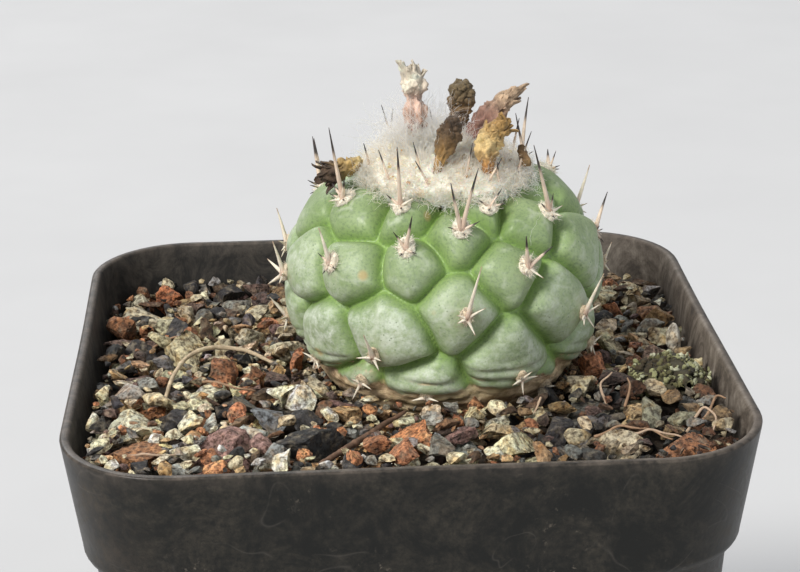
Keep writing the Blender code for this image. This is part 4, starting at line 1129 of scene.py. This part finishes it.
def pot_rings():
    """The pot's outlines from the underside up, over the rim, and down to its floor."""
    rings = []
    for share in (0, 0.25, 0.5, 0.75, 1):
        turn = math.radians(90) * share
        inset = 1 - math.sin(turn)
        rings.append(square_ring(pot_half(0) - inset, pot_corner(0) - inset, 1 - math.cos(turn)))
    band_low, step_low = RIM - BAND_HEIGHT, RIM - BAND_HEIGHT - STEP_DROP
    wall = list(np.linspace(1, step_low, 18)[1:])
    wall += [step_low + STEP_DROP * share for share in (0.12, 0.25, 0.4, 0.55, 0.7, 0.82, 0.92, 1)]
    wall += list(np.linspace(band_low, RIM - LIP, 9)[1:])
    for z in wall:
        rings.append(square_ring(pot_half(z), pot_corner(z), z, wall_bow(z)))
    for thickness, turns in ((0, (30, 60, 90)), (POT_WALL, (90, 60, 30))):
        for degrees in turns:
            turn = math.radians(degrees)
            inset = abs(thickness - LIP * (1 - math.cos(turn)))
            rings.append(square_ring(POT_HALF - inset, POT_CORNER - inset,
                                     RIM - LIP + LIP * math.sin(turn), LIP_BOW))
    for z in reversed([POT_FLOOR] + wall):
        rings.append(square_ring(pot_half(z) - POT_WALL, pot_corner(z) - POT_WALL,
                                 max(z, POT_FLOOR), wall_bow(z)))
    return np.array(rings)


def drill(pot, x, y):
    """Cuts one drain hole."""
    bm = bmesh.new()
    bmesh.ops.create_cone(bm, cap_ends=True, segments=DRILL_SIDES, radius1=DRAIN_RADIUS * MM,
                          radius2=DRAIN_RADIUS * MM, depth=DRILL_LENGTH * MM)
    bmesh.ops.translate(bm, verts=bm.verts, vec=(x * MM, y * MM, 0))
    mesh = bpy.data.meshes.new("drill")
    bm.to_mesh(mesh)
    bm.free()
    tool = bpy.data.objects.new("drill", mesh)
    bpy.context.scene.collection.objects.link(tool)
    modifier = pot.modifiers.new("drain", "BOOLEAN")
    modifier.operation = "DIFFERENCE"
    modifier.object = tool
    bpy.context.view_layer.update()
    seen = pot.evaluated_get(bpy.context.evaluated_depsgraph_get())
    cut = bpy.data.meshes.new_from_object(seen)
    pot.modifiers.remove(modifier)
    pot.data = cut
    bpy.data.objects.remove(tool, do_unlink=True)


def make_pot(paint):
    verts, faces = capped(pot_rings(), [0, 0, 0], [0, 0, POT_FLOOR], False)
    pot = build("nursery_pot", verts, faces, paint, replaces=("pot",))
    for x in (-DRAIN_OFFSET, DRAIN_OFFSET):
        for y in (-DRAIN_OFFSET, DRAIN_OFFSET):
            drill(pot, x, y)
    points = np.empty(len(pot.data.vertices) * 3, np.float32)
    pot.data.vertices.foreach_get("co", points)
    points = points.reshape(-1, 3).astype(float) / MM
    x, y, z = points.T
    away = outline_distance(points, np.array([pot_half(level) for level in z]),
                            np.array([pot_corner(level) for level in z]))
    shares = {
        "inner": (away < -0.65) & (z > 1.2),
        "edge": smooth_step(RIM - 0.45, RIM - 0.1, z),
        "clean": np.maximum(smooth_step(14, -16, x), 0.45 * smooth_step(10, 30, y)),
        "corner": smooth_step(8, 0, np.hypot(x + 27, y + 27)) * smooth_step(60, 78, z),
    }
    for key, values in shares.items():
        made = pot.data.attributes.new(key, "FLOAT", "POINT")
        made.data.foreach_set("value", values.astype(np.float32))
    pot.data.shade_smooth()
    pot.data.set_sharp_from_angle(angle=math.radians(PLASTIC_EDGE_DEGREES))


# ---------------------------------------------------------------- growing mix

def mix_level(y):
    """Height of the mix's mean surface above the pot's underside."""
    return RIM - SOIL_DROP - SOIL_SLOPE * y


def wall_reach(angle, half, corner):
    """Distance from the stem's axis to the inner wall, along an angle from +X."""
    near, far = 0.0, 2 * half + STEM_X
    for _ in range(30):
        middle = (near + far) / 2
        x = abs(STEM_X + middle * math.cos(angle)) - (half - corner)
        y = abs(middle * math.sin(angle)) - (half - corner)
        outside = math.hypot(max(x, 0), max(y, 0)) > corner or max(x, y) > corner
        near, far = (near, middle) if outside else (middle, far)
    return near


def inner_size(z, gap):
    """Half width and corner radius of the pot's inside at height z, less a gap."""
    return pot_half(z) - POT_WALL - gap, pot_corner(z) - POT_WALL - gap


def make_bed(paint):
    """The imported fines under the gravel: a solid with a hollow where the neck and root are."""
    angles = 2 * np.pi * np.arange(BED_COLUMNS) / BED_COLUMNS

    def ring(distance, z):
        return np.stack([STEM_X + distance * np.cos(angles), distance * np.sin(angles),
                         z + 0 * angles], -1)

    def wall(z):
        return np.array([wall_reach(angle, *inner_size(z, BED_GAP)) for angle in angles])

    bottom = RIM + ROOT_LOW - ROOT_RADIUS
    rings = [ring(0.4 + 0 * angles, bottom - 0.6)]
    for height in np.linspace(ROOT_LOW, NECK_LOW, 8):
        rings.append(ring(float(stem_radius(height)) + 0.5 + 0 * angles, RIM + height))
    reach = wall(RIM - 8)
    for share in np.linspace(0, 1, 60):
        flat = ring(BED_OPENING + (reach - BED_OPENING) * share, 0)
        lumps = 0.35 * layered_noise(flat, 2.0, 61, 4, 0.6)
        flat[:, 2] = mix_level(flat[:, 1]) - BED_DROP + lumps
        rings.append(flat)
    for z in (RIM - 12, RIM - 14.2, 40, POT_FLOOR + 0.4):
        rings.append(ring(wall(z), z))
    verts, faces = capped(np.array(rings), [STEM_X, 0, bottom - 0.8],
                          [STEM_X, 0, POT_FLOOR + 0.4])
    build("mix_bed", verts, faces, paint, replaces=("growing_mix",))


def stone_shape(rng, subdivisions, facets, sizes, rough, seed):
    """A broken stone about the origin: a ball cut by flat facets, then chipped and roughened."""
    verts, faces = BALLS[subdivisions]
    verts = verts.copy()
    for _ in range(facets):
        cut = unit(rng.normal(0, 1, 3))
        depth = rng.uniform(0.26, 0.74)
        verts -= cut * np.maximum(0, verts @ cut - depth)[:, None]
    verts /= np.abs(verts).max(0)
    push = rough * layered_noise(verts + seed, 0.8, seed % 97, 4, 0.62)
    push -= 1.6 * rough * np.clip(value_noise(verts * 1.0 + seed, 0.42, seed % 89) - 0.15, 0, 1)
    verts = verts * (1 + push)[:, None]
    return verts * np.asarray(sizes) / 2, faces


def turned(verts, yaw, tilt, roll):
    matrix = np.array(Euler((tilt, roll, yaw)).to_matrix())
    return verts @ matrix.T


# Kinds of grit: share by count, tint, how far the tint may vary, flatness and narrowness.
GRIT = {
    "cream": (0.31, (0.65, 0.575, 0.40), 0.2, 0.60, 0.78),
    "ochre": (0.12, (0.46, 0.31, 0.16), 0.28, 0.6, 0.72),
    "lava": (0.14, (0.43, 0.19, 0.09), 0.32, 0.78, 0.8),
    "plum": (0.07, (0.17, 0.105, 0.088), 0.3, 0.75, 0.8),
    "grey": (0.15, (0.25, 0.25, 0.235), 0.38, 0.58, 0.75),
    "black": (0.14, (0.040, 0.040, 0.042), 0.4, 0.7, 0.75),
    "bark": (0.08, (0.13, 0.075, 0.042), 0.4, 0.38, 0.42),
}
GRIT_PAINTS = {"cream": "grit_pale", "ochre": "grit_pale", "lava": "grit_lava",
               "plum": "grit_lava", "grey": "grit_dark", "black": "grit_dark", "bark": "grit_dark"}

# The CAD part's larger stones: tint, facets, roughness and paint of each.
LARGE_STONES = {
    "stone_pale_slab": ((0.62, 0.62, 0.48), 9, 0.10, "grit_pale"),
    "stone_orange_lava": ((0.52, 0.19, 0.08), 9, 0.12, "grit_lava"),
    "stone_splinter": ((0.50, 0.47, 0.40), 1, 0.05, "grit_pale"),
    "stone_black": ((0.040, 0.038, 0.042), 11, 0.08, "grit_dark"),
    "stone_cream": ((0.62, 0.52, 0.34), 9, 0.10, "grit_pale"),
    "stone_blue_grey": ((0.17, 0.185, 0.20), 10, 0.07, "grit_dark"),
    "stone_tan": ((0.42, 0.31, 0.17), 9, 0.11, "grit_pale"),
}


class Heap:
    """A height map of the gravel that finds where the next stone comes to rest."""

    def __init__(self):
        axis = np.arange(-HEAP_HALF, HEAP_HALF + CELL_MM, CELL_MM)
        self.axis = axis
        self.x, self.y = np.meshgrid(axis, axis, indexing="ij")
        points = np.stack([self.x.ravel(), self.y.ravel(), 0 * self.x.ravel()], -1)
        half, corner = (np.full(len(points), size) for size in inner_size(RIM - 6, 0))
        inside = outline_distance(points, half, corner) < -0.1
        away = np.hypot(points[:, 0] - STEM_X, points[:, 1])
        self.open = (inside & (away > STONES_OPENING)).reshape(self.x.shape)
        self.top = mix_level(self.y) - BED_DROP
        under = STEM_WAIST - STEM_BOWL * np.sqrt(np.clip(1 - (away / STEM_RADIUS) ** 2, 0, 1))
        self.roof = np.where(away < STEM_RADIUS, RIM + under - 0.2, 1e9).reshape(self.x.shape)

    def window(self, x, y, reach):
        i = int(round((x + HEAP_HALF) / CELL_MM))
        j = int(round((y + HEAP_HALF) / CELL_MM))
        k = int(math.ceil(reach / CELL_MM))
        if i - k < 0 or j - k < 0 or i + k >= len(self.axis) or j + k >= len(self.axis):
            return None
        return slice(i - k, i + k + 1), slice(j - k, j + k + 1)

    def profile(self, x, y, sizes, yaw, window):
        dx, dy = self.x[window] - x, self.y[window] - y
        along = (dx * math.cos(yaw) + dy * math.sin(yaw)) / (sizes[0] / 2)
        across = (-dx * math.sin(yaw) + dy * math.cos(yaw)) / (sizes[1] / 2)
        square = along ** 2 + across ** 2
        return np.where(square < 0.95, sizes[2] / 2 * np.sqrt(np.clip(1 - square, 0, 1)), np.nan)

    def rest(self, x, y, sizes, yaw):
        """Height of a stone's centre at rest there, or None where it doesn't fit."""
        window = self.window(x, y, max(sizes[:2]) / 2)
        if window is None:
            return None
        bulge = self.profile(x, y, sizes, yaw, window)
        mask = ~np.isnan(bulge)
        if not mask.any() or not self.open[window][mask].all():
            return None
        z = (self.top[window] + bulge)[mask].max()
        if (z + bulge > self.roof[window])[mask].any():
            return None
        return z - 0.16 * sizes[2]

    def close(self, x, y, width, length):
        """Keeps an oval clear of further stones."""
        window = self.window(x, y, max(width, length) / 2)
        bulge = self.profile(x, y, (width, length, 1), 0.0, window)
        self.open[window] &= np.isnan(bulge)

    def cover(self, x, y, z, reach):
        """Keeps stones near a point below height z."""
        window = self.window(x, y, reach)
        near = np.hypot(self.x[window] - x, self.y[window] - y) < reach
        self.roof[window] = np.where(near, np.minimum(self.roof[window], z), self.roof[window])

    def add(self, x, y, sizes, yaw, z):
        window = self.window(x, y, max(sizes[:2]) / 2)
        bulge = self.profile(x, y, sizes, yaw, window)
        raised = np.where(np.isnan(bulge), -1e9, z + bulge)
        self.top[window] = np.maximum(self.top[window], raised)


def painted_shade_at(x, y):
    """How light the gravel is painted: paler in front on the left, dark in front on the right under
    a painted shadow of the plant.
    """
    # Painted shadow of the plant, cast over the gravel in front on the right.
    painted_shadow = smooth_step(6, 18, x) * smooth_step(-4, -14, y)
    return 1.25 - 0.78 * painted_shadow - 0.42 * smooth_step(-18, 0, y)


def pour(heap, rng, count, low, high, tries, subdivisions, found):
    """Drops stones of sizes low to high mm, each into the lowest of some places tried."""
    kinds = list(GRIT)
    shares = np.array([GRIT[kind][0] for kind in kinds])
    for number in range(count):
        kind = kinds[rng.choice(len(kinds), p=shares / shares.sum())]
        _, tint, spread, flat, narrow = GRIT[kind]
        size = low * (high / low) ** (rng.uniform() ** 1.1)
        sizes = size * np.array([1, narrow * rng.uniform(0.8, 1.15), flat * rng.uniform(0.65, 1.0)])
        yaw = rng.uniform(0, math.pi)
        best = None
        for _ in range(tries):
            x, y = rng.uniform(1 - HEAP_HALF, HEAP_HALF - 1, 2)
            z = heap.rest(x, y, sizes, yaw)
            if z is not None and (best is None or z - mix_level(y) < best[0]):
                best = (z - mix_level(y), x, y, z)
        if best is None or best[0] > HIGHEST_REST:
            continue
        _, x, y, z = best
        heap.add(x, y, sizes, yaw, z)
        facets = 5 if subdivisions < 2 else 9
        rough = 0.15 if kind in ("lava", "plum", "ochre") else 0.12
        verts, faces = stone_shape(rng, subdivisions, facets, sizes, rough, 1000 + len(found))
        verts = turned(verts, yaw, rng.normal(0, 0.3), rng.normal(0, 0.3)) + np.array([x, y, z])
        shade = np.array(tint) * math.exp(rng.normal(0, spread)) * np.exp(rng.normal(0, 0.035, 3))
        # Painted shade: the tint is darkened under the plant's painted shadow in front on the
        # right, and towards the back.
        shade = shade * painted_shade_at(x, y)
        tints = np.clip(shade * patchy(verts, 0.9, 71 + number % 13, 0.28), 0.01, 0.75)
        found.append((kind, (verts, faces, {"tint": tints})))


# Each pour of stones: grade, count, sizes from and to in mm, places tried, subdivisions.
POURS = (("coarse", 150, 4.4, 7.4, 14, 4), ("coarse", 520, 2.7, 4.6, 14, 3),
         ("fine", 800, 1.4, 2.7, 12, 2), ("fine", 1300, 0.7, 1.4, 8, 1))


def make_gravel(paints):
    rng = np.random.default_rng(72)
    heap = Heap()
    edge = math.radians(STONE_EDGE_DEGREES)
    for name, (tint, facets, rough, paint) in LARGE_STONES.items():
        middle, sizes = node_box(name)
        grown = sizes * np.array([1.06, 1.06, 1.25])
        heap.add(middle[0], middle[1], sizes, 0.0, middle[2])
        heap.close(middle[0], middle[1], 1.1 * sizes[0], 1.1 * sizes[1])
        verts, faces = stone_shape(rng, 5, facets, grown, rough, int(100 * sizes[0]))
        tints = np.clip(np.array(tint) * patchy(verts, 1.4, 74, 0.22), 0.01, 0.8)
        rock = build(name.replace("stone_", "rock_"), verts + middle, faces, paints[paint],
                     {"tint": tints}, replaces=(name,))
        rock.data.set_sharp_from_angle(angle=edge)
    middle, sizes = node_box("moss_clump")
    heap.add(middle[0], middle[1], sizes * 0.9, 0.0, middle[2])
    heap.close(middle[0], middle[1], 0.85 * sizes[0], 0.85 * sizes[1])
    for name in TWIGS:
        for x, y, z, _ in twig_line(name, 30)[2:]:
            heap.cover(x, y, z - 0.3, 0.7)
    found = {"coarse": [], "fine": []}
    for grade, *settings in POURS:
        pour(heap, rng, *settings, found[grade])
    for kind in GRIT:
        for grade, stones in found.items():
            verts, faces, attributes = joined([part for name, part in stones if name == kind])
            made = build(f"grit_{kind}_{grade}", verts, faces, paints[GRIT_PAINTS[kind]],
                         attributes)
            made.data.set_sharp_from_angle(angle=edge)


# ---------------------------------------------------------------- litter

# Twigs as in the CAD part: azimuth, share of the way to the wall, mm above the mix, radius.
TWIGS = {
    "twig_arched": ((-75, 0.71, 0.7, 0.3), (-80, 0.68, 2.1, 0.38), (-89, 0.62, 3.2, 0.4),
                    (-96, 0.51, 3.4, 0.42), (-97, 0.39, 3.0, 0.4), (-94, 0.25, 1.7, 0.3)),
    "twig_straight": ((-26, 0.88, 1.7, 0.34), (-24, 0.63, 1.7, 0.4), (-22, 0.39, 1.6, 0.36),
                      (-19, 0.17, 1.6, 0.25)),
}
TWIG_TINTS = {"twig_arched": (0.60, 0.47, 0.31), "twig_straight": (0.19, 0.105, 0.065)}

# Loose rootlets: a line of x, y and mm above the mix.
ROOTLETS = (
    ((19, -27, 0.8), (22, -26.2, 1.6), (25, -26.6, 1.5), (27.5, -28, 0.9)),
    ((18, -25.5, 1.0), (21.5, -25.2, 1.9), (25.5, -27.3, 1.2)),
    ((27.5, -24.5, 0.6), (29.2, -22.8, 2.6), (30.4, -24.6, 2.0), (29.4, -26.8, 0.8)),
    ((29.6, -21.5, 0.9), (31, -20.6, 2.8), (31.6, -22, 3.4)),
    ((13, -16.8, 0.8), (13.6, -17.4, 2.4), (12.6, -18.4, 1.0)),
    ((-22, -4, 0.8), (-20, -7, 1.8), (-17.5, -8.6, 1.4), (-15, -8, 0.8)),
    ((-29, -26, 0.6), (-26, -27.5, 1.5), (-22.5, -27, 1.1)),
    ((-27.5, 8, 0.6), (-25, 9.5, 1.6), (-21, 8.8, 1.0)),
    ((20.5, -16, 0.8), (20, -15.2, 3.0), (21.2, -14.8, 4.0)),
    ((22.4, -16.6, 0.8), (23, -16, 2.6), (22.6, -15.6, 3.6)),
    ((-14, 14, 0.6), (-11, 16, 1.6), (-8, 19, 0.9)),
    ((8, 26, 0.6), (12, 27.5, 1.7), (17, 26.5, 0.9)),
)


def litter_point(degrees, share, lift):
    """A point above the mix, at a share of the way from the collar to the wall."""
    azimuth = math.radians(degrees)
    start = float(stem_radius(COLLAR_LOW))
    reach = wall_reach(azimuth - math.pi / 2, *inner_size(RIM - SOIL_DROP, 0.3))
    distance = start + (reach - start) * share
    x, y = STEM_X + distance * math.sin(azimuth), -distance * math.cos(azimuth)
    return x, y, mix_level(y) + lift


def twig_line(name, count):
    """A twig's line as count rows of x, y, z and radius."""
    stations = [(*litter_point(*row[:3]), row[3]) for row in TWIGS[name]]
    return smooth_path(stations, count)


def make_twigs(paint):
    count, sides = 120, 14
    for name in TWIGS:
        line = twig_line(name, count)
        wander = np.stack([value_noise(line[:, :3], 2.6, 81 + k) for k in range(3)], -1)
        path = line[:, :3] + 0.16 * wander
        knots = 0.10 * np.exp(-((np.linspace(0, 7, count) % 1 - 0.5) / 0.09) ** 2)
        radii = line[:, 3] * ((0.58 if name == "twig_arched" else 0.8) + knots)
        radii[[0, -1]] *= 0.4
        verts, faces, _, _ = tubes(path[None], radii[None], sides)
        middles = np.repeat(path, sides, axis=0)
        bark = 1 + 0.13 * layered_noise(verts, 0.5, 85, 3)
        verts = middles + (verts - middles) * bark[:, None]
        tints = np.clip(np.array(TWIG_TINTS[name]) * patchy(verts, 1.1, 86, 0.3), 0.02, 0.7)
        build(name.replace("twig_", "stick_"), verts, faces, paint,
              {"tint": tints}, replaces=(name,))
    parts = []
    browns = np.array([(0.50, 0.36, 0.25), (0.36, 0.22, 0.13)])
    for k, rows in enumerate(ROOTLETS):
        stations = [(x, y, mix_level(y) + lift + ROOTLET_LIFT) for x, y, lift in rows]
        path = smooth_path(stations, 40)
        path = path + 0.22 * np.stack([value_noise(path, 1.4, 88 + k + j) for j in range(3)], -1)
        verts, faces, _, _ = tubes(path[None], np.linspace(0.17, 0.08, 40)[None], 7)
        parts.append((verts, faces, {"tint": np.tile(browns[k % 2], (len(verts), 1))}))
    verts, faces, attributes = joined(parts)
    build("rootlets", verts, faces, paint, attributes)


def make_moss(paint):
    """A crusty clump: a lumpy cushion covered with small curled lobes."""
    rng = np.random.default_rng(91)
    middle, sizes = node_box("moss_clump")
    verts, faces = BALLS[5]
    lumps = 1 + 0.26 * layered_noise(verts, 0.5, 92, 4, 0.65)
    body = verts * lumps[:, None] * sizes * np.array([0.48, 0.48, 0.52])
    shade = np.array([0.045, 0.038, 0.02]) * patchy(body, 1.0, 93, 0.5)
    parts = [(body + middle, faces, {"tint": shade})]
    lobe, lobe_faces = BALLS[2]
    greens = np.array([(0.055, 0.04, 0.02), (0.13, 0.12, 0.05), (0.30, 0.30, 0.15),
                       (0.42, 0.43, 0.28), (0.50, 0.50, 0.36)])
    tops = np.flatnonzero(verts[:, 2] > -0.3)
    for k in range(MOSS_LOBES):
        at = tops[rng.integers(len(tops))]
        size = rng.uniform(0.14, 0.42)
        crumb = lobe * np.array([1, rng.uniform(0.6, 1.0), rng.uniform(0.35, 0.8)]) * size
        crumb = crumb * (1 + 0.55 * layered_noise(lobe * 1.5 + k, 0.7, 94))[:, None]
        crumb = turned(crumb, rng.uniform(0, 6.3), rng.normal(0, 0.9), rng.normal(0, 0.9))
        crumb = crumb + body[at] * rng.uniform(0.95, 1.10) + middle
        patch = layered_noise(body[at][None], 1.8, 95)[0]
        pick = int(np.clip(1.9 + 2.4 * patch + rng.normal(0, 0.9), 0, 4.9))
        tint = greens[pick] * rng.uniform(0.7, 1.25)
        parts.append((crumb, lobe_faces, {"tint": np.tile(tint, (len(crumb), 1))}))
    verts, faces, attributes = joined(parts)
    limit = (sizes / 2 + 0.4)[:2]
    verts[:, :2] = np.clip(verts[:, :2], middle[:2] - limit, middle[:2] + limit)
    build("moss_crust", verts, faces, paint, attributes, replaces=("moss_clump",))


# ---------------------------------------------------------------- stage

# In metres, with the camera where the photograph was taken from.
AIM = (0.0, 0.0, 0.08)
LAMPS_AWAY, FLOOR_SIZE = 5, 9.0
LENS_MM, SENSOR_MM = 99.9, 36
CAMERA_PLACE, CAMERA_DEGREES = (-0.01278, -0.22646, 0.16762), (70.195, 0.642, -3.520)


def make_floor():
    p = Paint("floor_paper", 0.9)
    grain = p.noise(60.0, 3)
    p.finish(p.ramp(grain, [(0.3, (0.498, 0.502, 0.508)), (0.7, (0.520, 0.524, 0.530))]),
             p.ramp(grain, [(0.3, 0.9), (0.7, 0.85)]))
    bm = bmesh.new()
    bmesh.ops.create_grid(bm, x_segments=8, y_segments=8, size=FLOOR_SIZE)
    mesh = bpy.data.meshes.new("floor")
    bm.to_mesh(mesh)
    bm.free()
    mesh.materials.append(p.made)
    floor = bpy.data.objects.new("floor", mesh)
    bpy.context.scene.collection.objects.link(floor)


def make_light(name, place, size, power, colour):
    """A round lamp seen from AIM in the direction of place, set back to light the floor evenly."""
    data = bpy.data.lights.new(name, "AREA")
    data.shape = "DISK"
    data.size = size * LAMPS_AWAY
    data.energy = power * LAMPS_AWAY ** 2
    data.color = colour
    light = bpy.data.objects.new(name, data)
    light.location = Vector(AIM) + (Vector(place) - Vector(AIM)) * LAMPS_AWAY
    light.rotation_euler = (Vector(AIM) - light.location).to_track_quat("-Z", "Y").to_euler()
    bpy.context.scene.collection.objects.link(light)


def make_stage():
    scene = bpy.context.scene
    make_floor()
    world = bpy.data.worlds.new("studio")
    world.use_nodes = True
    background = world.node_tree.nodes["Background"]
    background.inputs["Color"].default_value = (0.93, 0.95, 1.0, 1)
    background.inputs["Strength"].default_value = 0.45
    scene.world = world
    make_light("key", (-0.50, -0.48, 0.70), 0.28, 10.5, (1.0, 0.975, 0.93))
    make_light("fill", (0.6, -0.6, 0.35), 0.8, 1.8, (0.92, 0.96, 1.0))
    make_light("back", (-0.15, 0.7, 0.6), 0.5, 3.0, (1.0, 1.0, 1.0))
    camera = bpy.data.cameras.new("camera")
    camera.lens = LENS_MM
    camera.sensor_width = SENSOR_MM
    camera.clip_start = 0.01
    holder = bpy.data.objects.new("camera", camera)
    holder.location = CAMERA_PLACE
    holder.rotation_euler = [math.radians(angle) for angle in CAMERA_DEGREES]
    scene.collection.objects.link(holder)
    scene.camera = holder
    scene.view_settings.view_transform = "Standard"


def main():
    skin = skin_paint()
    spine = tinted_paint("spine_horn", 0.5, 0.5, 0.35, 0.03, (1.0, 1.0, 0.35), 0.0, 0.12)
    pad_wool = tinted_paint("areole_wool", 0.95, 0.25, 0.35, 0.06, None, 0.3, 0.15)
    fleece = tinted_paint("crown_fleece", 0.95, 0.4, 0.06, 0.05, None, 0.5, 0.8, 2.0)
    withered = tinted_paint("withered_petal", 0.75, 0.6, 0.72, 0.16, (1.0, 1.0, 0.45), 0.1, 0.08)
    bark = tinted_paint("twig_bark", 0.8, 0.6, 0.5, 0.08)
    moss = tinted_paint("moss", 0.95, 0.35, 0.5, 0.12)
    stones = {"grit_pale": grit_paint("grit_pale", 0.75, 0.2, 0.6, 0.2, (0.80, 0.60, 0.36)),
              "grit_lava": grit_paint("grit_lava", 0.55, 0.26, 0.5, 0.3, (0.42, 0.36, 0.34)),
              "grit_dark": grit_paint("grit_dark", 0.9, 0.16, 0.5, 0.4, (0.9, 0.6, 0.42))}
    make_stage()
    make_pot(pot_paint())
    make_bed(bed_paint())
    make_gravel(stones)
    make_stem(skin)
    make_areoles(spine, pad_wool)
    make_wool(fleece, spine)
    for name in FLOWERS:
        make_flower(name, withered)
    make_twigs(bark)
    make_moss(moss)


main()
bpy.context.view_layer.update()
